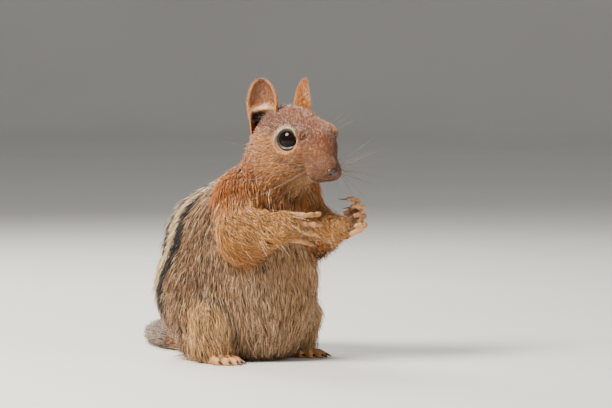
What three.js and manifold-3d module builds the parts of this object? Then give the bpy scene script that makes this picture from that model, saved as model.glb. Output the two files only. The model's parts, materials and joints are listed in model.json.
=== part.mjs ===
// A golden-mantled ground squirrel, life size, sitting up on its haunches with both forepaws raised
// to its mouth. Millimetres, +Z up. It faces -Y, so its left side is +X. The floor is z = 0.
import * as THREE from "three";
import { mergeVertices } from "three/addons/utils/BufferGeometryUtils.js";
import Module from "manifold-3d";

const wasm = await Module();
wasm.setup();
const { Manifold, Mesh: SolidMesh } = wasm;

// Driving sizes
const GAP = 0.3; // between two nodes that touch
const FACETS = 0.35; // added to it where a facetted skin stands in for a round one
const BODY_STEP = 6.9; // mesh step on the body
const HEAD_STEP = 3; // mesh step on the head
const LIMB_STEP = 3.8; // mesh step on the forearms
const EYE_RADIUS = 6.3;
const LID = 0.75; // half the thickness of an eyelid's rim
const LID_LIFT = 0.55; // from the eye's surface to the middle of that rim
const MOUTH_DEPTH = 4; // how far the cut between the lips goes in
const EAR_WIDTH = 15.5;
const EAR_WALL = 1.3;
const FINGER_RADIUS = 1.2;
const TOE_RADIUS = 1.9;
const HIND_FOOT = 37; // heel to the end of the toes, without claws
const TAIL_LENGTH = 98; // to the end of its hair
const TAIL_SIDE = 11; // how far its hair reaches to each side
const TAIL_RISE = 6.2; // and upwards
const WHISKER = 0.55; // thickness at the root
const SIDES = [
  { side: "right", s: -1 },
  { side: "left", s: 1 },
];

const vec = (x, y, z) => new THREE.Vector3(x, y, z);
const mix = THREE.MathUtils.lerp;
const radians = THREE.MathUtils.degToRad;
const mirrored = (v, s) => vec(v.x * s, v.y, v.z);
const between = (a, b, t) => a.clone().lerp(b, t);

// The head's own frame: x forward to the nose, y to its left, z up, from the point between the eyes
const HEAD_AT = vec(1.5, -48.8, 104.5);
const HEAD_YAW = radians(-7); // turned to its right
const HEAD_PITCH = radians(22); // nose down
const headForward = vec(
  Math.sin(HEAD_YAW) * Math.cos(HEAD_PITCH),
  -Math.cos(HEAD_YAW) * Math.cos(HEAD_PITCH),
  -Math.sin(HEAD_PITCH),
);
const headLeft = vec(Math.cos(HEAD_YAW), Math.sin(HEAD_YAW), 0);
const headUp = headForward.clone().cross(headLeft);
const headFrame = new THREE.Matrix4().makeBasis(headForward, headLeft, headUp).setPosition(HEAD_AT);
const headInverse = headFrame.clone().invert();

// Signed distance fields, negative inside. Each takes a point and gives a distance in millimetres.
// An ellipsoid's distance is exact on its surface and near enough beside it.
const ellipsoid = (centre, radii) => (p) => {
  const [x, y, z] = [p.x - centre.x, p.y - centre.y, p.z - centre.z];
  const near = Math.hypot(x / radii.x, y / radii.y, z / radii.z);
  const slope = Math.hypot(x / radii.x ** 2, y / radii.y ** 2, z / radii.z ** 2);
  return near < 1e-6 ? -Math.min(radii.x, radii.y, radii.z) : (near * (near - 1)) / slope;
};

// A limb of round section that tapers from one radius to another
const limb = (a, b, ra, rb) => {
  const along = b.clone().sub(a);
  const squared = along.lengthSq();
  return (p) => {
    const [x, y, z] = [p.x - a.x, p.y - a.y, p.z - a.z];
    const t = THREE.MathUtils.clamp((x * along.x + y * along.y + z * along.z) / squared, 0, 1);
    return Math.hypot(x - along.x * t, y - along.y * t, z - along.z * t) - mix(ra, rb, t);
  };
};

// Joins fields with a fillet of about the given width
const blend = (width, ...fields) => (p) =>
  fields.map((f) => f(p)).reduce((a, b) => {
    const h = THREE.MathUtils.clamp(0.5 + (0.5 * (b - a)) / width, 0, 1);
    return mix(b, a, h) - width * h * (1 - h);
  });

const grown = (field, by) => (p) => field(p) - by;
const both = (make) => [make(-1), make(1)];

// Trunk, neck, haunches and upper arms. Places are in the part's frame.
const HIP = vec(17, 9, 31);
const KNEE = vec(25.5, -13, 21);
const SHIN = vec(25.5, -12, 10.5); // where the hair of the knee ends, over the foot
const ANKLE = vec(23, 5, 12);
const SHOULDER = vec(16, -22, 79);
const ELBOW = vec(22.5, -29, 62);
const NECK_BASE = vec(0.5, -21.5, 83);
const NECK_END = vec(0.5, -34.5, 100);

const trunk = blend(
  14,
  ellipsoid(vec(0, 12, 38.5), vec(29, 29, 40)),
  ellipsoid(vec(1, -11, 40.5), vec(31, 31, 41.5)),
  ellipsoid(vec(0, 3.5, 57), vec(28, 31, 26)),
  ellipsoid(vec(1, -16, 72), vec(23, 22, 20)),
);
const neckField = limb(NECK_BASE, NECK_END, 17, 18);
const haunches = both((s) =>
  blend(
    8,
    ellipsoid(vec(19 * s, 7, 34), vec(16, 26, 22)),
    limb(mirrored(HIP, s), mirrored(KNEE, s), 16, 10.5),
    limb(mirrored(KNEE, s), mirrored(SHIN, s), 10, 8.6),
    limb(mirrored(SHIN, s), mirrored(ANKLE, s), 8.6, 7.5),
  ),
);
const upperArms = both((s) => limb(mirrored(SHOULDER, s), mirrored(ELBOW, s), 14, 9.5));
const bodyField = blend(7, blend(8, trunk, neckField), ...haunches, ...upperArms);

// Head, in its own frame
const headLocal = blend(
  2.2,
  blend(
    5,
    ellipsoid(vec(-12, 0, 0), vec(18, 14.5, 11.5)),
    ellipsoid(vec(2, 0, 1), vec(14, 11, 9)),
    limb(vec(5, 0, -3), vec(18, 0, -5), 9.6, 5.8),
    limb(vec(-4, 0, -12), vec(12.5, 0, -11.5), 7, 3.2),
    ...both((s) => ellipsoid(vec(-5, 9 * s, -6), vec(13, 6.5, 9))),
    ...both((s) => ellipsoid(vec(-12, 7.5 * s, -11), vec(12, 7, 9))),
  ),
  ...both((s) => ellipsoid(vec(17, 3.9 * s, -7.4), vec(5.6, 4.3, 4.2))),
  ...both((s) => ellipsoid(vec(0, 9.3 * s, 6.2), vec(7.4, 4.3, 3.2))),
);

// The whole animal but its ears, forearms, feet and tail, as one field
const wholeField = (p) => {
  const [a, b] = [bodyField(p), headLocal(p.clone().applyMatrix4(headInverse))];
  const width = 7;
  const h = THREE.MathUtils.clamp(0.5 + (0.5 * (b - a)) / width, 0, 1);
  return mix(b, a, h) - width * h * (1 - h);
};

// Where the neck meets the trunk and the head
const NECK_ROOT = vec(0, -21, 88);
const NECK_ALONG = vec(0.02, -0.62, 0.78).normalize();
const NECK_TOP = vec(1, -36.5, 101);
const HEAD_ALONG = vec(-0.08, -0.92, 0.36).normalize();
const STUMP = 6; // how far the head's mesh runs on below its cut, before it is trimmed
const THROAT = 27; // how far below the eyes it stops
const headField = (p) => {
  const world = p.clone().applyMatrix4(headFrame);
  const behind = -world.clone().sub(NECK_TOP).dot(HEAD_ALONG) - STUMP;
  return Math.max(wholeField(world), behind, -p.z - THROAT);
};

// Turns a field into a mesh: one vertex in each grid cell that the surface crosses, drawn onto the
// surface along the field's slope, and one pair of triangles for each grid edge that it crosses.
function meshOf(field, low, high, step) {
  const count = ["x", "y", "z"].map((k) => Math.ceil((high[k] - low[k]) / step) + 1);
  const at = (i, j, k) => (k * count[1] + j) * count[0] + i;
  const values = new Float32Array(count[0] * count[1] * count[2]);
  const p = vec(0, 0, 0);
  const grid = (i, j, k) => p.set(low.x + i * step, low.y + j * step, low.z + k * step);
  for (let k = 0; k < count[2]; k++)
    for (let j = 0; j < count[1]; j++)
      for (let i = 0; i < count[0]; i++) {
        values[at(i, j, k)] = field(grid(i, j, k));
      }

  const corner = (c) => [c & 1, (c >> 1) & 1, (c >> 2) & 1];
  const cellEdges = [];
  for (let c = 0; c < 8; c++)
    for (const bit of [1, 2, 4]) {
      if (!(c & bit)) cellEdges.push([c, c | bit]);
    }
  const cellVertex = new Map();
  const points = [];
  for (let k = 0; k < count[2] - 1; k++)
    for (let j = 0; j < count[1] - 1; j++)
      for (let i = 0; i < count[0] - 1; i++) {
        const sum = vec(0, 0, 0);
        let crossings = 0;
        for (const [c, d] of cellEdges) {
          const [ca, da] = [corner(c), corner(d)];
          const va = values[at(i + ca[0], j + ca[1], k + ca[2])];
          const vb = values[at(i + da[0], j + da[1], k + da[2])];
          if (va < 0 === vb < 0) continue;
          const t = va / (va - vb);
          sum.add(vec(mix(ca[0], da[0], t), mix(ca[1], da[1], t), mix(ca[2], da[2], t)));
          crossings++;
        }
        if (!crossings) continue;
        cellVertex.set(at(i, j, k), points.length);
        const start = sum.divideScalar(crossings).add(vec(i, j, k)).multiplyScalar(step).add(low);
        points.push(ontoSurface(field, start, step));
      }

  const faces = [];
  const quad = (a, b, c, d, flip) => {
    const v = [a, b, c, d].map((cell) => cellVertex.get(cell));
    if (flip) v.reverse();
    const one = points[v[0]].distanceToSquared(points[v[2]]);
    const other = points[v[1]].distanceToSquared(points[v[3]]);
    if (one < other) faces.push(v[0], v[1], v[2], v[0], v[2], v[3]);
    else faces.push(v[0], v[1], v[3], v[1], v[2], v[3]);
  };
  for (let k = 1; k < count[2] - 1; k++)
    for (let j = 1; j < count[1] - 1; j++)
      for (let i = 1; i < count[0] - 1; i++) {
        const here = values[at(i, j, k)] < 0;
        if (here !== values[at(i + 1, j, k)] < 0)
          quad(at(i, j - 1, k - 1), at(i, j, k - 1), at(i, j, k), at(i, j - 1, k), !here);
        if (here !== values[at(i, j + 1, k)] < 0)
          quad(at(i - 1, j, k - 1), at(i - 1, j, k), at(i, j, k), at(i, j, k - 1), !here);
        if (here !== values[at(i, j, k + 1)] < 0)
          quad(at(i - 1, j - 1, k), at(i, j - 1, k), at(i, j, k), at(i - 1, j, k), !here);
      }
  return geometryOf(points, faces);
}

// Walks a point onto a field's surface, and no further than half a step from where it starts
function ontoSurface(field, start, step) {
  const p = start.clone();
  const reach = 0.05;
  for (let pass = 0; pass < 3; pass++) {
    const value = field(p);
    const slope = vec(
      field(p.clone().setX(p.x + reach)) - value,
      field(p.clone().setY(p.y + reach)) - value,
      field(p.clone().setZ(p.z + reach)) - value,
    ).divideScalar(reach);
    p.addScaledVector(slope, -value / Math.max(slope.lengthSq(), 0.2));
  }
  const moved = p.clone().sub(start);
  return start.clone().add(moved.clampLength(0, step / 2));
}

function geometryOf(points, faces) {
  const geometry = new THREE.BufferGeometry().setFromPoints(points);
  geometry.setIndex(faces);
  return geometry;
}

// Joins rings of the same number of points into a closed skin. Each end is closed by a fan on its
// middle, or by a strip across where the rings are flat crescents.
function loft(rings, crescent = false) {
  const n = rings[0].length;
  const points = rings.flat();
  const faces = [];
  for (let r = 0; r < rings.length - 1; r++)
    for (let i = 0; i < n; i++) {
      const [a, b] = [r * n + i, r * n + ((i + 1) % n)];
      faces.push(a, b, a + n, b, b + n, a + n);
    }
  for (const [start, flip] of [
    [0, true],
    [(rings.length - 1) * n, false],
  ]) {
    const add = (a, b, c) => (flip ? faces.push(a, c, b) : faces.push(a, b, c));
    if (crescent) {
      for (let i = 0; i < n / 2 - 1; i++) {
        const [a, b, c, d] = [start + i, start + i + 1, start + n - 2 - i, start + n - 1 - i];
        add(a, b, d);
        if (b !== c) add(b, c, d);
      }
    } else {
      const middle = points.length;
      const sum = points.slice(start, start + n).reduce((m, q) => m.add(q), vec(0, 0, 0));
      points.push(sum.divideScalar(n));
      for (let i = 0; i < n; i++) add(start + i, start + ((i + 1) % n), middle);
    }
  }
  return geometryOf(points, faces);
}

// Joins sections into a closed ring
function ringOf(rings) {
  const n = rings[0].length;
  const faces = [];
  rings.forEach((_, r) => {
    const next = (r + 1) % rings.length;
    for (let i = 0; i < n; i++) {
      const [a, b, c, d] = [r * n + i, r * n + ((i + 1) % n), next * n + ((i + 1) % n), next * n + i];
      faces.push(a, b, d, b, c, d);
    }
  });
  return geometryOf(rings.flat(), faces);
}

// A tube through stations of {at, r, flat}, whose section is r wide and r * flat along the given up
function tube(stations, up, sides = 8) {
  const rings = stations.map(({ at, r, flat = 1 }, i) => {
    const before = stations[Math.max(i - 1, 0)].at;
    const after = stations[Math.min(i + 1, stations.length - 1)].at;
    const along = after.clone().sub(before).normalize();
    const across = along.clone().cross(up).normalize();
    const over = across.clone().cross(along);
    return Array.from({ length: sides }, (_, j) => {
      const turn = (2 * Math.PI * (j + 0.5)) / sides;
      return at
        .clone()
        .addScaledVector(across, r * Math.cos(turn))
        .addScaledVector(over, -r * flat * Math.sin(turn));
    });
  });
  return loft(rings);
}

// A closed skin as a solid that can be joined and cut. A mirrored skin is turned the right way out.
function solidOf(geometry, matrix) {
  const bare = geometry.clone();
  if (matrix) bare.applyMatrix4(matrix);
  bare.deleteAttribute("normal");
  bare.deleteAttribute("uv");
  const merged = mergeVertices(bare, 1e-4);
  const vertProperties = new Float32Array(merged.attributes.position.array);
  const triVerts = new Uint32Array(merged.index.array);
  const solid = new Manifold(new SolidMesh({ numProp: 3, vertProperties, triVerts }));
  if (solid.volume() > 0) return solid;
  for (let i = 0; i < triVerts.length; i += 3) {
    [triVerts[i + 1], triVerts[i + 2]] = [triVerts[i + 2], triVerts[i + 1]];
  }
  return new Manifold(new SolidMesh({ numProp: 3, vertProperties, triVerts }));
}

// Moves a shape's origin to a centre and turns its Z axis along a direction
function turned(centre, along) {
  const turn = new THREE.Quaternion().setFromUnitVectors(vec(0, 0, 1), along.clone().normalize());
  return new THREE.Matrix4().makeRotationFromQuaternion(turn).setPosition(centre);
}

function ball(centre, radii, grow = 0, along = vec(0, 0, 1), fine = 16) {
  const size = new THREE.Matrix4().makeScale(radii.x + grow, radii.y + grow, radii.z + grow);
  const shape = new THREE.SphereGeometry(1, fine, Math.round(fine * 0.7));
  return solidOf(shape, turned(centre, along).multiply(size));
}
const sphere = (centre, radius, grow = 0, fine = 12) =>
  ball(centre, vec(radius, radius, radius), grow, vec(0, 0, 1), fine);

// A large block whose lower face lies in the plane through a point, square to a direction
function blockBeyond(point, along, lift = 0) {
  const size = 400;
  const centre = point.clone().addScaledVector(along.clone().normalize(), size / 2 + lift);
  return solidOf(new THREE.BoxGeometry(size, size, size), turned(centre, along));
}

const largest = (solid) => solid.decompose().sort((a, b) => b.volume() - a.volume())[0];
const aboveFloor = blockBeyond(vec(0, 0, 0), vec(0, 0, 1));

const group = new THREE.Group();
const headGroup = new THREE.Group();
headGroup.position.copy(HEAD_AT);
headGroup.quaternion.setFromRotationMatrix(headFrame);
group.add(headGroup);

function node(name, solid, colour, { roughness = 0.9, parent = group } = {}) {
  const { vertProperties, triVerts, numProp } = largest(solid).getMesh();
  const geometry = new THREE.BufferGeometry();
  const places = [];
  for (let i = 0; i < vertProperties.length; i += numProp) {
    places.push(...vertProperties.subarray(i, i + 3));
  }
  geometry.setAttribute("position", new THREE.Float32BufferAttribute(places, 3));
  geometry.setIndex(new THREE.BufferAttribute(new Uint32Array(triVerts), 1));
  const material = new THREE.MeshStandardMaterial({ color: colour, roughness, metalness: 0 });
  const mesh = new THREE.Mesh(geometry, material);
  mesh.name = name;
  parent.add(mesh);
  return mesh;
}

const COLOURS = {
  grizzled: 0xa58468,
  mantle: 0xc27a45,
  belly: 0xc4a27c,
  paw: 0xc79a72,
  claw: 0x3a302a,
  eye: 0x0c0a0a,
  nose: 0x4a3630,
  tail: 0x8d6a4c,
  whisker: 0x2a2624,
};

// Body, cut into its parts
const BODY_LOW = vec(-60, -90, -12);
const BODY_HIGH = vec(60, 64, 140);
const body = solidOf(meshOf(wholeField, BODY_LOW, BODY_HIGH, BODY_STEP)).intersect(aboveFloor);
const bodyGrown = solidOf(meshOf(grown(wholeField, GAP + FACETS), BODY_LOW, BODY_HIGH, BODY_STEP));
let rest = body;
const carve = (cutter, cutterGrown) => {
  const piece = rest.intersect(cutter);
  rest = rest.subtract(cutterGrown);
  return piece;
};
for (const { side, s } of SIDES) {
  const arm = between(mirrored(SHOULDER, s), mirrored(ELBOW, s), 0.62).add(vec(5 * s, 0, 0));
  const armAlong = mirrored(ELBOW, s).sub(mirrored(SHOULDER, s));
  const armRadii = vec(15, 15, 24);
  const upperArm = carve(ball(arm, armRadii, 0, armAlong), ball(arm, armRadii, GAP, armAlong));
  node(`upper_arm_${side}`, upperArm, COLOURS.mantle);

  const shin = vec(28 * s, -5, 9);
  const shinRadii = vec(15, 21, 9.5);
  node(`lower_leg_${side}`, carve(ball(shin, shinRadii), ball(shin, shinRadii, GAP)), COLOURS.belly);

  const thigh = vec(31 * s, 0, 29);
  const thighRadii = vec(18, 30, 25);
  node(`thigh_${side}`, carve(ball(thigh, thighRadii), ball(thigh, thighRadii, GAP)), COLOURS.grizzled);
}
node(
  "neck",
  rest.intersect(blockBeyond(NECK_ROOT, NECK_ALONG)).subtract(blockBeyond(NECK_TOP, HEAD_ALONG, -GAP)),
  COLOURS.mantle,
);
node("torso", rest.subtract(blockBeyond(NECK_ROOT, NECK_ALONG, -GAP)), COLOURS.grizzled);

// Head, in its own frame: skull and jaws, lids, lips and the line of the mouth
const onHead = { parent: headGroup };
const HEAD_LOW = vec(-42, -34, -34);
const HEAD_HIGH = vec(30, 34, 26);
const headSkin = solidOf(meshOf(headField, HEAD_LOW, HEAD_HIGH, HEAD_STEP));
const headFieldGrown = grown(headField, GAP + FACETS / 2);
const headSkinGrown = solidOf(meshOf(headFieldGrown, HEAD_LOW, HEAD_HIGH, HEAD_STEP));
const bodyAtHead = bodyGrown.transform(headInverse.elements);
const neckCut = blockBeyond(
  NECK_TOP.clone().applyMatrix4(headInverse),
  HEAD_ALONG.clone().transformDirection(headInverse),
);

// An eye's frame: out of the head, forward to its front corner, and up
const eyeFrame = (s) => {
  const centre = vec(-2.5, 8.3 * s, -1.1);
  const out = vec(0.42, 0.89 * s, 0.18).normalize();
  const front = vec(1, 0, -0.05).projectOnPlane(out).normalize();
  const up = vec(0, 0, 1).projectOnPlane(out).projectOnPlane(front).normalize();
  return { centre, out, front, up };
};

// The lids' edge is an almond on a ball just over the eye, with its point at the front corner
function lidEdge({ centre, out, front, up }, turn) {
  const forward = Math.cos(turn) * (Math.cos(turn) > 0 ? 1.4 : 1.2);
  const lift = Math.sin(turn) * mix(1.1, 0.8, Math.max(Math.cos(turn), 0));
  return centre.clone().addScaledVector(
    out
      .clone()
      .addScaledVector(front, forward)
      .addScaledVector(up, lift)
      .normalize(),
    EYE_RADIUS + LID_LIFT,
  );
}
function lids(frame) {
  const steps = 14;
  const rings = [];
  for (let i = 0; i < steps; i++) {
    const at = lidEdge(frame, (2 * Math.PI * i) / steps);
    const outward = at.clone().sub(frame.centre).normalize();
    const along = lidEdge(frame, (2 * Math.PI * (i + 0.5)) / steps).sub(at).normalize();
    const across = outward.clone().cross(along).normalize();
    rings.push(
      [0, 1, 2, 3, 4].map((j) => {
        const turn = (2 * Math.PI * j) / 5;
        return at
          .clone()
          .addScaledVector(across, LID * Math.cos(turn))
          .addScaledVector(outward, LID * Math.sin(turn));
      }),
    );
  }
  return ringOf(rings);
}

const EYE_HOLLOW = vec(5.3, 5.3, 3.6); // the hollow in the skin that the lids stand in
let head = headSkin.intersect(neckCut);
for (const { s } of SIDES) {
  const frame = eyeFrame(s);
  const opening = frame.centre.clone().addScaledVector(frame.out, EYE_RADIUS);
  head = head
    .subtract(ball(opening, EYE_HOLLOW, 0, frame.out))
    .add(solidOf(lids(frame)))
    .subtract(sphere(frame.centre, EYE_RADIUS, GAP));
}

// The mouth is a thin cut that follows the jaw from one corner round to the other
const MOUTH_CORNER = vec(10.5, 8.2, -12.2);
const MOUTH_FRONT = vec(20.5, 0, -10);
function mouthCut() {
  const rings = [];
  for (let i = -6; i <= 6; i++) {
    const turn = (i / 6) * (Math.PI / 2);
    const line = vec(
      mix(MOUTH_CORNER.x, MOUTH_FRONT.x, Math.cos(turn)),
      MOUTH_CORNER.y * Math.sin(turn),
      mix(MOUTH_CORNER.z, MOUTH_FRONT.z, Math.cos(turn)),
    );
    const inward = vec(-Math.cos(turn), -Math.sin(turn), 0);
    rings.push(
      [
        [-MOUTH_DEPTH, 0.5],
        [1.7, 0.12],
        [1.7, -0.12],
        [-MOUTH_DEPTH, -0.5],
      ].map(([deep, over]) => line.clone().addScaledVector(inward, deep).add(vec(0, 0, over))),
    );
  }
  return loft(rings);
}
head = head.subtract(solidOf(mouthCut()));
node("head", head, COLOURS.mantle, onHead);
for (const { side, s } of SIDES) {
  const eye = sphere(eyeFrame(s).centre, EYE_RADIUS);
  node(`eye_${side}`, eye, COLOURS.eye, { roughness: 0.1, parent: headGroup });
}

// Nose pad, with its two nostrils
const NOSE_AT = vec(22.6, 0, -5.6);
const NOSE_RADII = vec(2.7, 3.2, 2.9);
const NOSTRIL_RADII = vec(1.1, 0.8, 0.8);
function nostril(s) {
  const at = NOSE_AT.clone().add(vec(2.3, 1.75 * s, -0.7));
  return ball(at, NOSTRIL_RADII, 0, vec(1, 0.6 * s, 0), 8);
}
const nosePad = ball(NOSE_AT, NOSE_RADII, 0, vec(0, 0, 1), 9)
  .subtract(nostril(-1))
  .subtract(nostril(1))
  .subtract(headSkinGrown)
  .subtract(solidOf(mouthCut()));
node("nose", nosePad, COLOURS.nose, { roughness: 0.6, parent: headGroup });

// Ears: a wall bent into a cup that is a tube at its root and opens towards its round tip
function ear(s) {
  const root = vec(-21.5, 9.8 * s, -8);
  const tip = vec(-29.4, 13 * s, 19.3);
  const axis = tip.clone().sub(root).normalize();
  const out = vec(0.5, 0.85 * s, 0.15).projectOnPlane(axis).normalize();
  const front = vec(1, 0, 0).projectOnPlane(axis).projectOnPlane(out).normalize();
  const stations = [0, 0.25, 0.45, 0.62, 0.78, 0.91, 0.98];
  const across = [-1, -0.7, -0.35, 0, 0.35, 0.7, 1];
  const rings = stations.map((t) => {
    const share = t < 0.6 ? mix(0.62, 1, t / 0.6) : Math.sqrt(1 - ((t - 0.6) / 0.405) ** 2);
    const wide = (EAR_WIDTH / 2) * share;
    const bend = radians(mix(118, 62, t));
    const curve = wide / Math.sin(Math.min(bend, Math.PI / 2));
    const middle = between(root, tip, t).addScaledVector(front, mix(0, 1.2, Math.sin(Math.PI * t)));
    const place = (a, r) =>
      middle
        .clone()
        .addScaledVector(front, r * Math.sin(a * bend))
        .addScaledVector(out, -r * Math.cos(a * bend) + curve * 0.5);
    const wall = mix(EAR_WALL, EAR_WALL * 0.65, t);
    const outer = across.map((a) => place(a, curve));
    const inner = across.map((a) => place(a, curve - wall)).reverse();
    return [...outer, ...inner];
  });
  return loft(rings, true);
}
for (const { side, s } of SIDES) {
  const cup = solidOf(ear(s)).subtract(headSkinGrown).subtract(bodyAtHead);
  node(`ear_${side}`, cup, COLOURS.mantle, onHead);
}

// Whiskers: a low pad on the side of the muzzle that carries rows of fine tapered hairs. Each hair
// is longer than the one in front of it, and sags back and down towards its tip.
const WHISKER_PAD = vec(4.2, 1.5, 2.6);
const WHISKER_ROWS = 3;
const WHISKERS_A_ROW = 3;
const FRONT_WHISKER = 28; // length of the foremost one in the top row
const SAG = vec(-0.16, 0, -0.1);
function whiskers(s) {
  const pad = vec(16.4, 7.5 * s, -6.6);
  let solid = ball(pad, WHISKER_PAD, 0, vec(0, 0, 1), 7);
  for (let row = 0; row < WHISKER_ROWS; row++)
    for (let i = 0; i < WHISKERS_A_ROW; i++) {
      const root = pad.clone().add(vec(1.8 - 1.9 * i, 0.2 * s, 1.3 - 1.4 * row));
      const aim = vec(0.5 - 0.45 * i, s, 0.62 - 0.42 * row - 0.1 * i).normalize();
      const length = FRONT_WHISKER + 6 * i - 2 * row;
      const stations = [0, 0.5, 1].map((t) => ({
        at: root
          .clone()
          .addScaledVector(aim, length * t)
          .addScaledVector(SAG, length * t * t),
        r: mix(WHISKER / 2, 0.1, t),
      }));
      solid = solid.add(solidOf(tube(stations, vec(0, 0, 1), 3)));
    }
  return solid.subtract(headSkinGrown);
}
for (const { side, s } of SIDES) {
  node(`whiskers_${side}`, whiskers(s), COLOURS.whisker, { roughness: 0.5, parent: headGroup });
}

// Forepaws, held up before the mouth. Each has a wrist, the way its palm runs, the way its fingers
// are stacked, and how far its three finger joints bend. The hair of its forearm is as thick as the
// cuff says at the elbow and at the wrist, and runs on past the wrist by the third number.
const HANDS = {
  right: {
    s: -1,
    wrist: vec(-17.6, -53.4, 66),
    cuff: [9.5, 6.6, 3.6],
    along: vec(0.85, -0.512, -0.123),
    across: vec(0.1, -0.07, 0.99),
    bends: [10, 26, 20],
  },
  left: {
    s: 1,
    wrist: vec(17.4, -56, 64.8),
    cuff: [9, 5, 1.5],
    along: vec(0.48, -0.74, 0.47),
    across: vec(0.15, 0.6, 0.79),
    bends: [35, 75, 32],
  },
};
const PALM = 8.5; // from the wrist to the knuckles
const FINGER_SPACING = 3.9;
const BONES = [5.2, 4, 3];
const THUMB_RADII = vec(1.7, 1.7, 2.8);
const FINGER_CLAW = 3.6;
const TOE_CLAW = 3.2;

// A finger's stations from its root in the palm to its tip, and where its claw starts and points
function finger({ s, wrist, along, across, bends }, index) {
  const inward = along.clone().cross(across).multiplyScalar(s).normalize();
  const place = index - 1.5;
  const reach = 1 - 0.07 * Math.abs(place - 0.5);
  const spread = across.clone().multiplyScalar(0.09 * place);
  let at = wrist
    .clone()
    .addScaledVector(along, PALM - 0.8 * Math.abs(place - 0.5))
    .addScaledVector(across, place * FINGER_SPACING);
  const stations = [{ at: at.clone().addScaledVector(along, -3.5), r: FINGER_RADIUS }];
  let turn = 0;
  let aim = along;
  BONES.forEach((bone, i) => {
    stations.push({ at: at.clone(), r: FINGER_RADIUS * (1.18 - 0.06 * i) });
    turn += radians(bends[i] + 4 * Math.sin(3 * index + i));
    aim = along.clone().multiplyScalar(Math.cos(turn)).addScaledVector(inward, Math.sin(turn));
    aim.add(spread).normalize();
    const middle = at.clone().addScaledVector(aim, bone * reach * 0.5);
    stations.push({ at: middle, r: FINGER_RADIUS * (0.92 - 0.08 * i) });
    at = at.clone().addScaledVector(aim, bone * reach);
  });
  stations.push({ at: at.clone().addScaledVector(aim, -0.3), r: FINGER_RADIUS * 0.82 });
  stations.push({ at: at.clone(), r: FINGER_RADIUS * 0.5 });
  return { stations, tip: at, aim, down: inward, up: across };
}

// A claw: a curved cone that starts just past the tip of a finger or toe
function claw({ tip, aim, down, up }, length, root) {
  const stations = [0, 0.5, 1].map((t) => ({
    at: tip
      .clone()
      .addScaledVector(aim, GAP + length * t)
      .addScaledVector(down, 0.3 * length * t * t),
    r: mix(root, 0.14, t),
  }));
  return tube(stations, up, 5);
}

function palm({ s, wrist, along, across }) {
  const inward = along.clone().cross(across).multiplyScalar(s).normalize();
  const stations = [
    [-1, 3.4, 0.85],
    [2, 4.4, 0.62],
    [5.5, 6.2, 0.42],
    [PALM, 7, 0.3],
    [PALM + 1.2, 5.8, 0.24],
  ].map(([t, r, flat]) => ({ at: wrist.clone().addScaledVector(along, t), r, flat }));
  return tube(stations, inward, 10);
}

for (const [side, hand] of Object.entries(HANDS)) {
  const elbow = mirrored(ELBOW, hand.s);
  const [thick, thin, over] = hand.cuff;
  const end = hand.wrist.clone().addScaledVector(hand.along, over);
  const cuff = limb(hand.wrist, end, thin, 0.74 * thin);
  const armField = blend(4, limb(elbow, hand.wrist, thick, thin), cuff);
  const low = vec(-40, -80, 40);
  const high = vec(40, -10, 90);
  const forearm = solidOf(meshOf(armField, low, high, LIMB_STEP)).subtract(bodyGrown);
  const forearmGrown = solidOf(meshOf(grown(armField, GAP + FACETS / 2), low, high, LIMB_STEP));
  node(`forearm_${side}`, forearm, COLOURS.mantle);

  let solid = solidOf(palm(hand));
  const thumb = hand.wrist.clone().addScaledVector(hand.along, 5).addScaledVector(hand.across, 5.4);
  solid = solid.add(ball(thumb, THUMB_RADII, 0, hand.along, 8));
  for (let i = 0; i < 4; i++) {
    const one = finger(hand, i);
    solid = solid.add(solidOf(tube(one.stations, hand.across, 5)));
    const horn = solidOf(claw(one, FINGER_CLAW, 0.75));
    node(`claw_hand_${side}_${i + 1}`, horn, COLOURS.claw, { roughness: 0.35 });
  }
  node(`hand_${side}`, solid.subtract(forearmGrown), COLOURS.paw);
}

// Hind feet, flat on the floor. A section is an arch with a flat sole.
const SOLE = 6; // points round an arch
function arch(at, along, wide, high) {
  const across = vec(along.y, -along.x, 0);
  return Array.from({ length: SOLE }, (_, i) => {
    const turn = (Math.PI * i) / (SOLE - 1);
    return at
      .clone()
      .addScaledVector(across, wide * Math.cos(turn))
      .add(vec(0, 0, high * Math.sin(turn)));
  });
}
const HEEL = vec(23.5, 6, 0);
const footAlong = (s) => vec(0.09 * s, -1, 0).normalize();
const TOES = [
  { across: -4.6, start: 0.6, end: 0.84 },
  { across: -2.5, start: 0.66, end: 0.95 },
  { across: 0, start: 0.68, end: 1 },
  { across: 2.5, start: 0.66, end: 0.97 },
  { across: 4.7, start: 0.58, end: 0.86 },
];
function sole(s) {
  const along = footAlong(s);
  const rings = [
    [0, 3, 4.5],
    [0.06, 4.4, 7],
    [0.3, 5, 7.5],
    [0.55, 5.8, 6.5],
    [0.72, 6.2, 4.6],
    [0.78, 5.4, 3.2],
  ].map(([t, wide, high]) => {
    const at = mirrored(HEEL, s).addScaledVector(along, HIND_FOOT * t);
    return arch(at, along, wide, high);
  });
  return loft(rings);
}
function toe(s, { across, start, end }) {
  const along = footAlong(s);
  const splay = vec(along.x + 0.05 * across * s, along.y, 0).normalize();
  const root = mirrored(HEEL, s)
    .addScaledVector(along, HIND_FOOT * start)
    .add(vec(across * s, 0, 0));
  const length = HIND_FOOT * (end - start);
  const rings = [
    [0, 0.95, 4.2],
    [0.35, 1, 4.4],
    [0.8, 0.9, 3.2],
    [1, 0.6, 2.2],
  ].map(([t, wide, high]) => {
    const at = root.clone().addScaledVector(splay, length * t);
    return arch(at, splay, TOE_RADIUS * wide, high);
  });
  const tip = root.clone().addScaledVector(splay, length).add(vec(0, 0, 1.6));
  return { rings, tip, aim: splay.clone().setZ(0.12).normalize(), down: vec(0, 0, -1), up: vec(0, 0, 1) };
}
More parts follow.
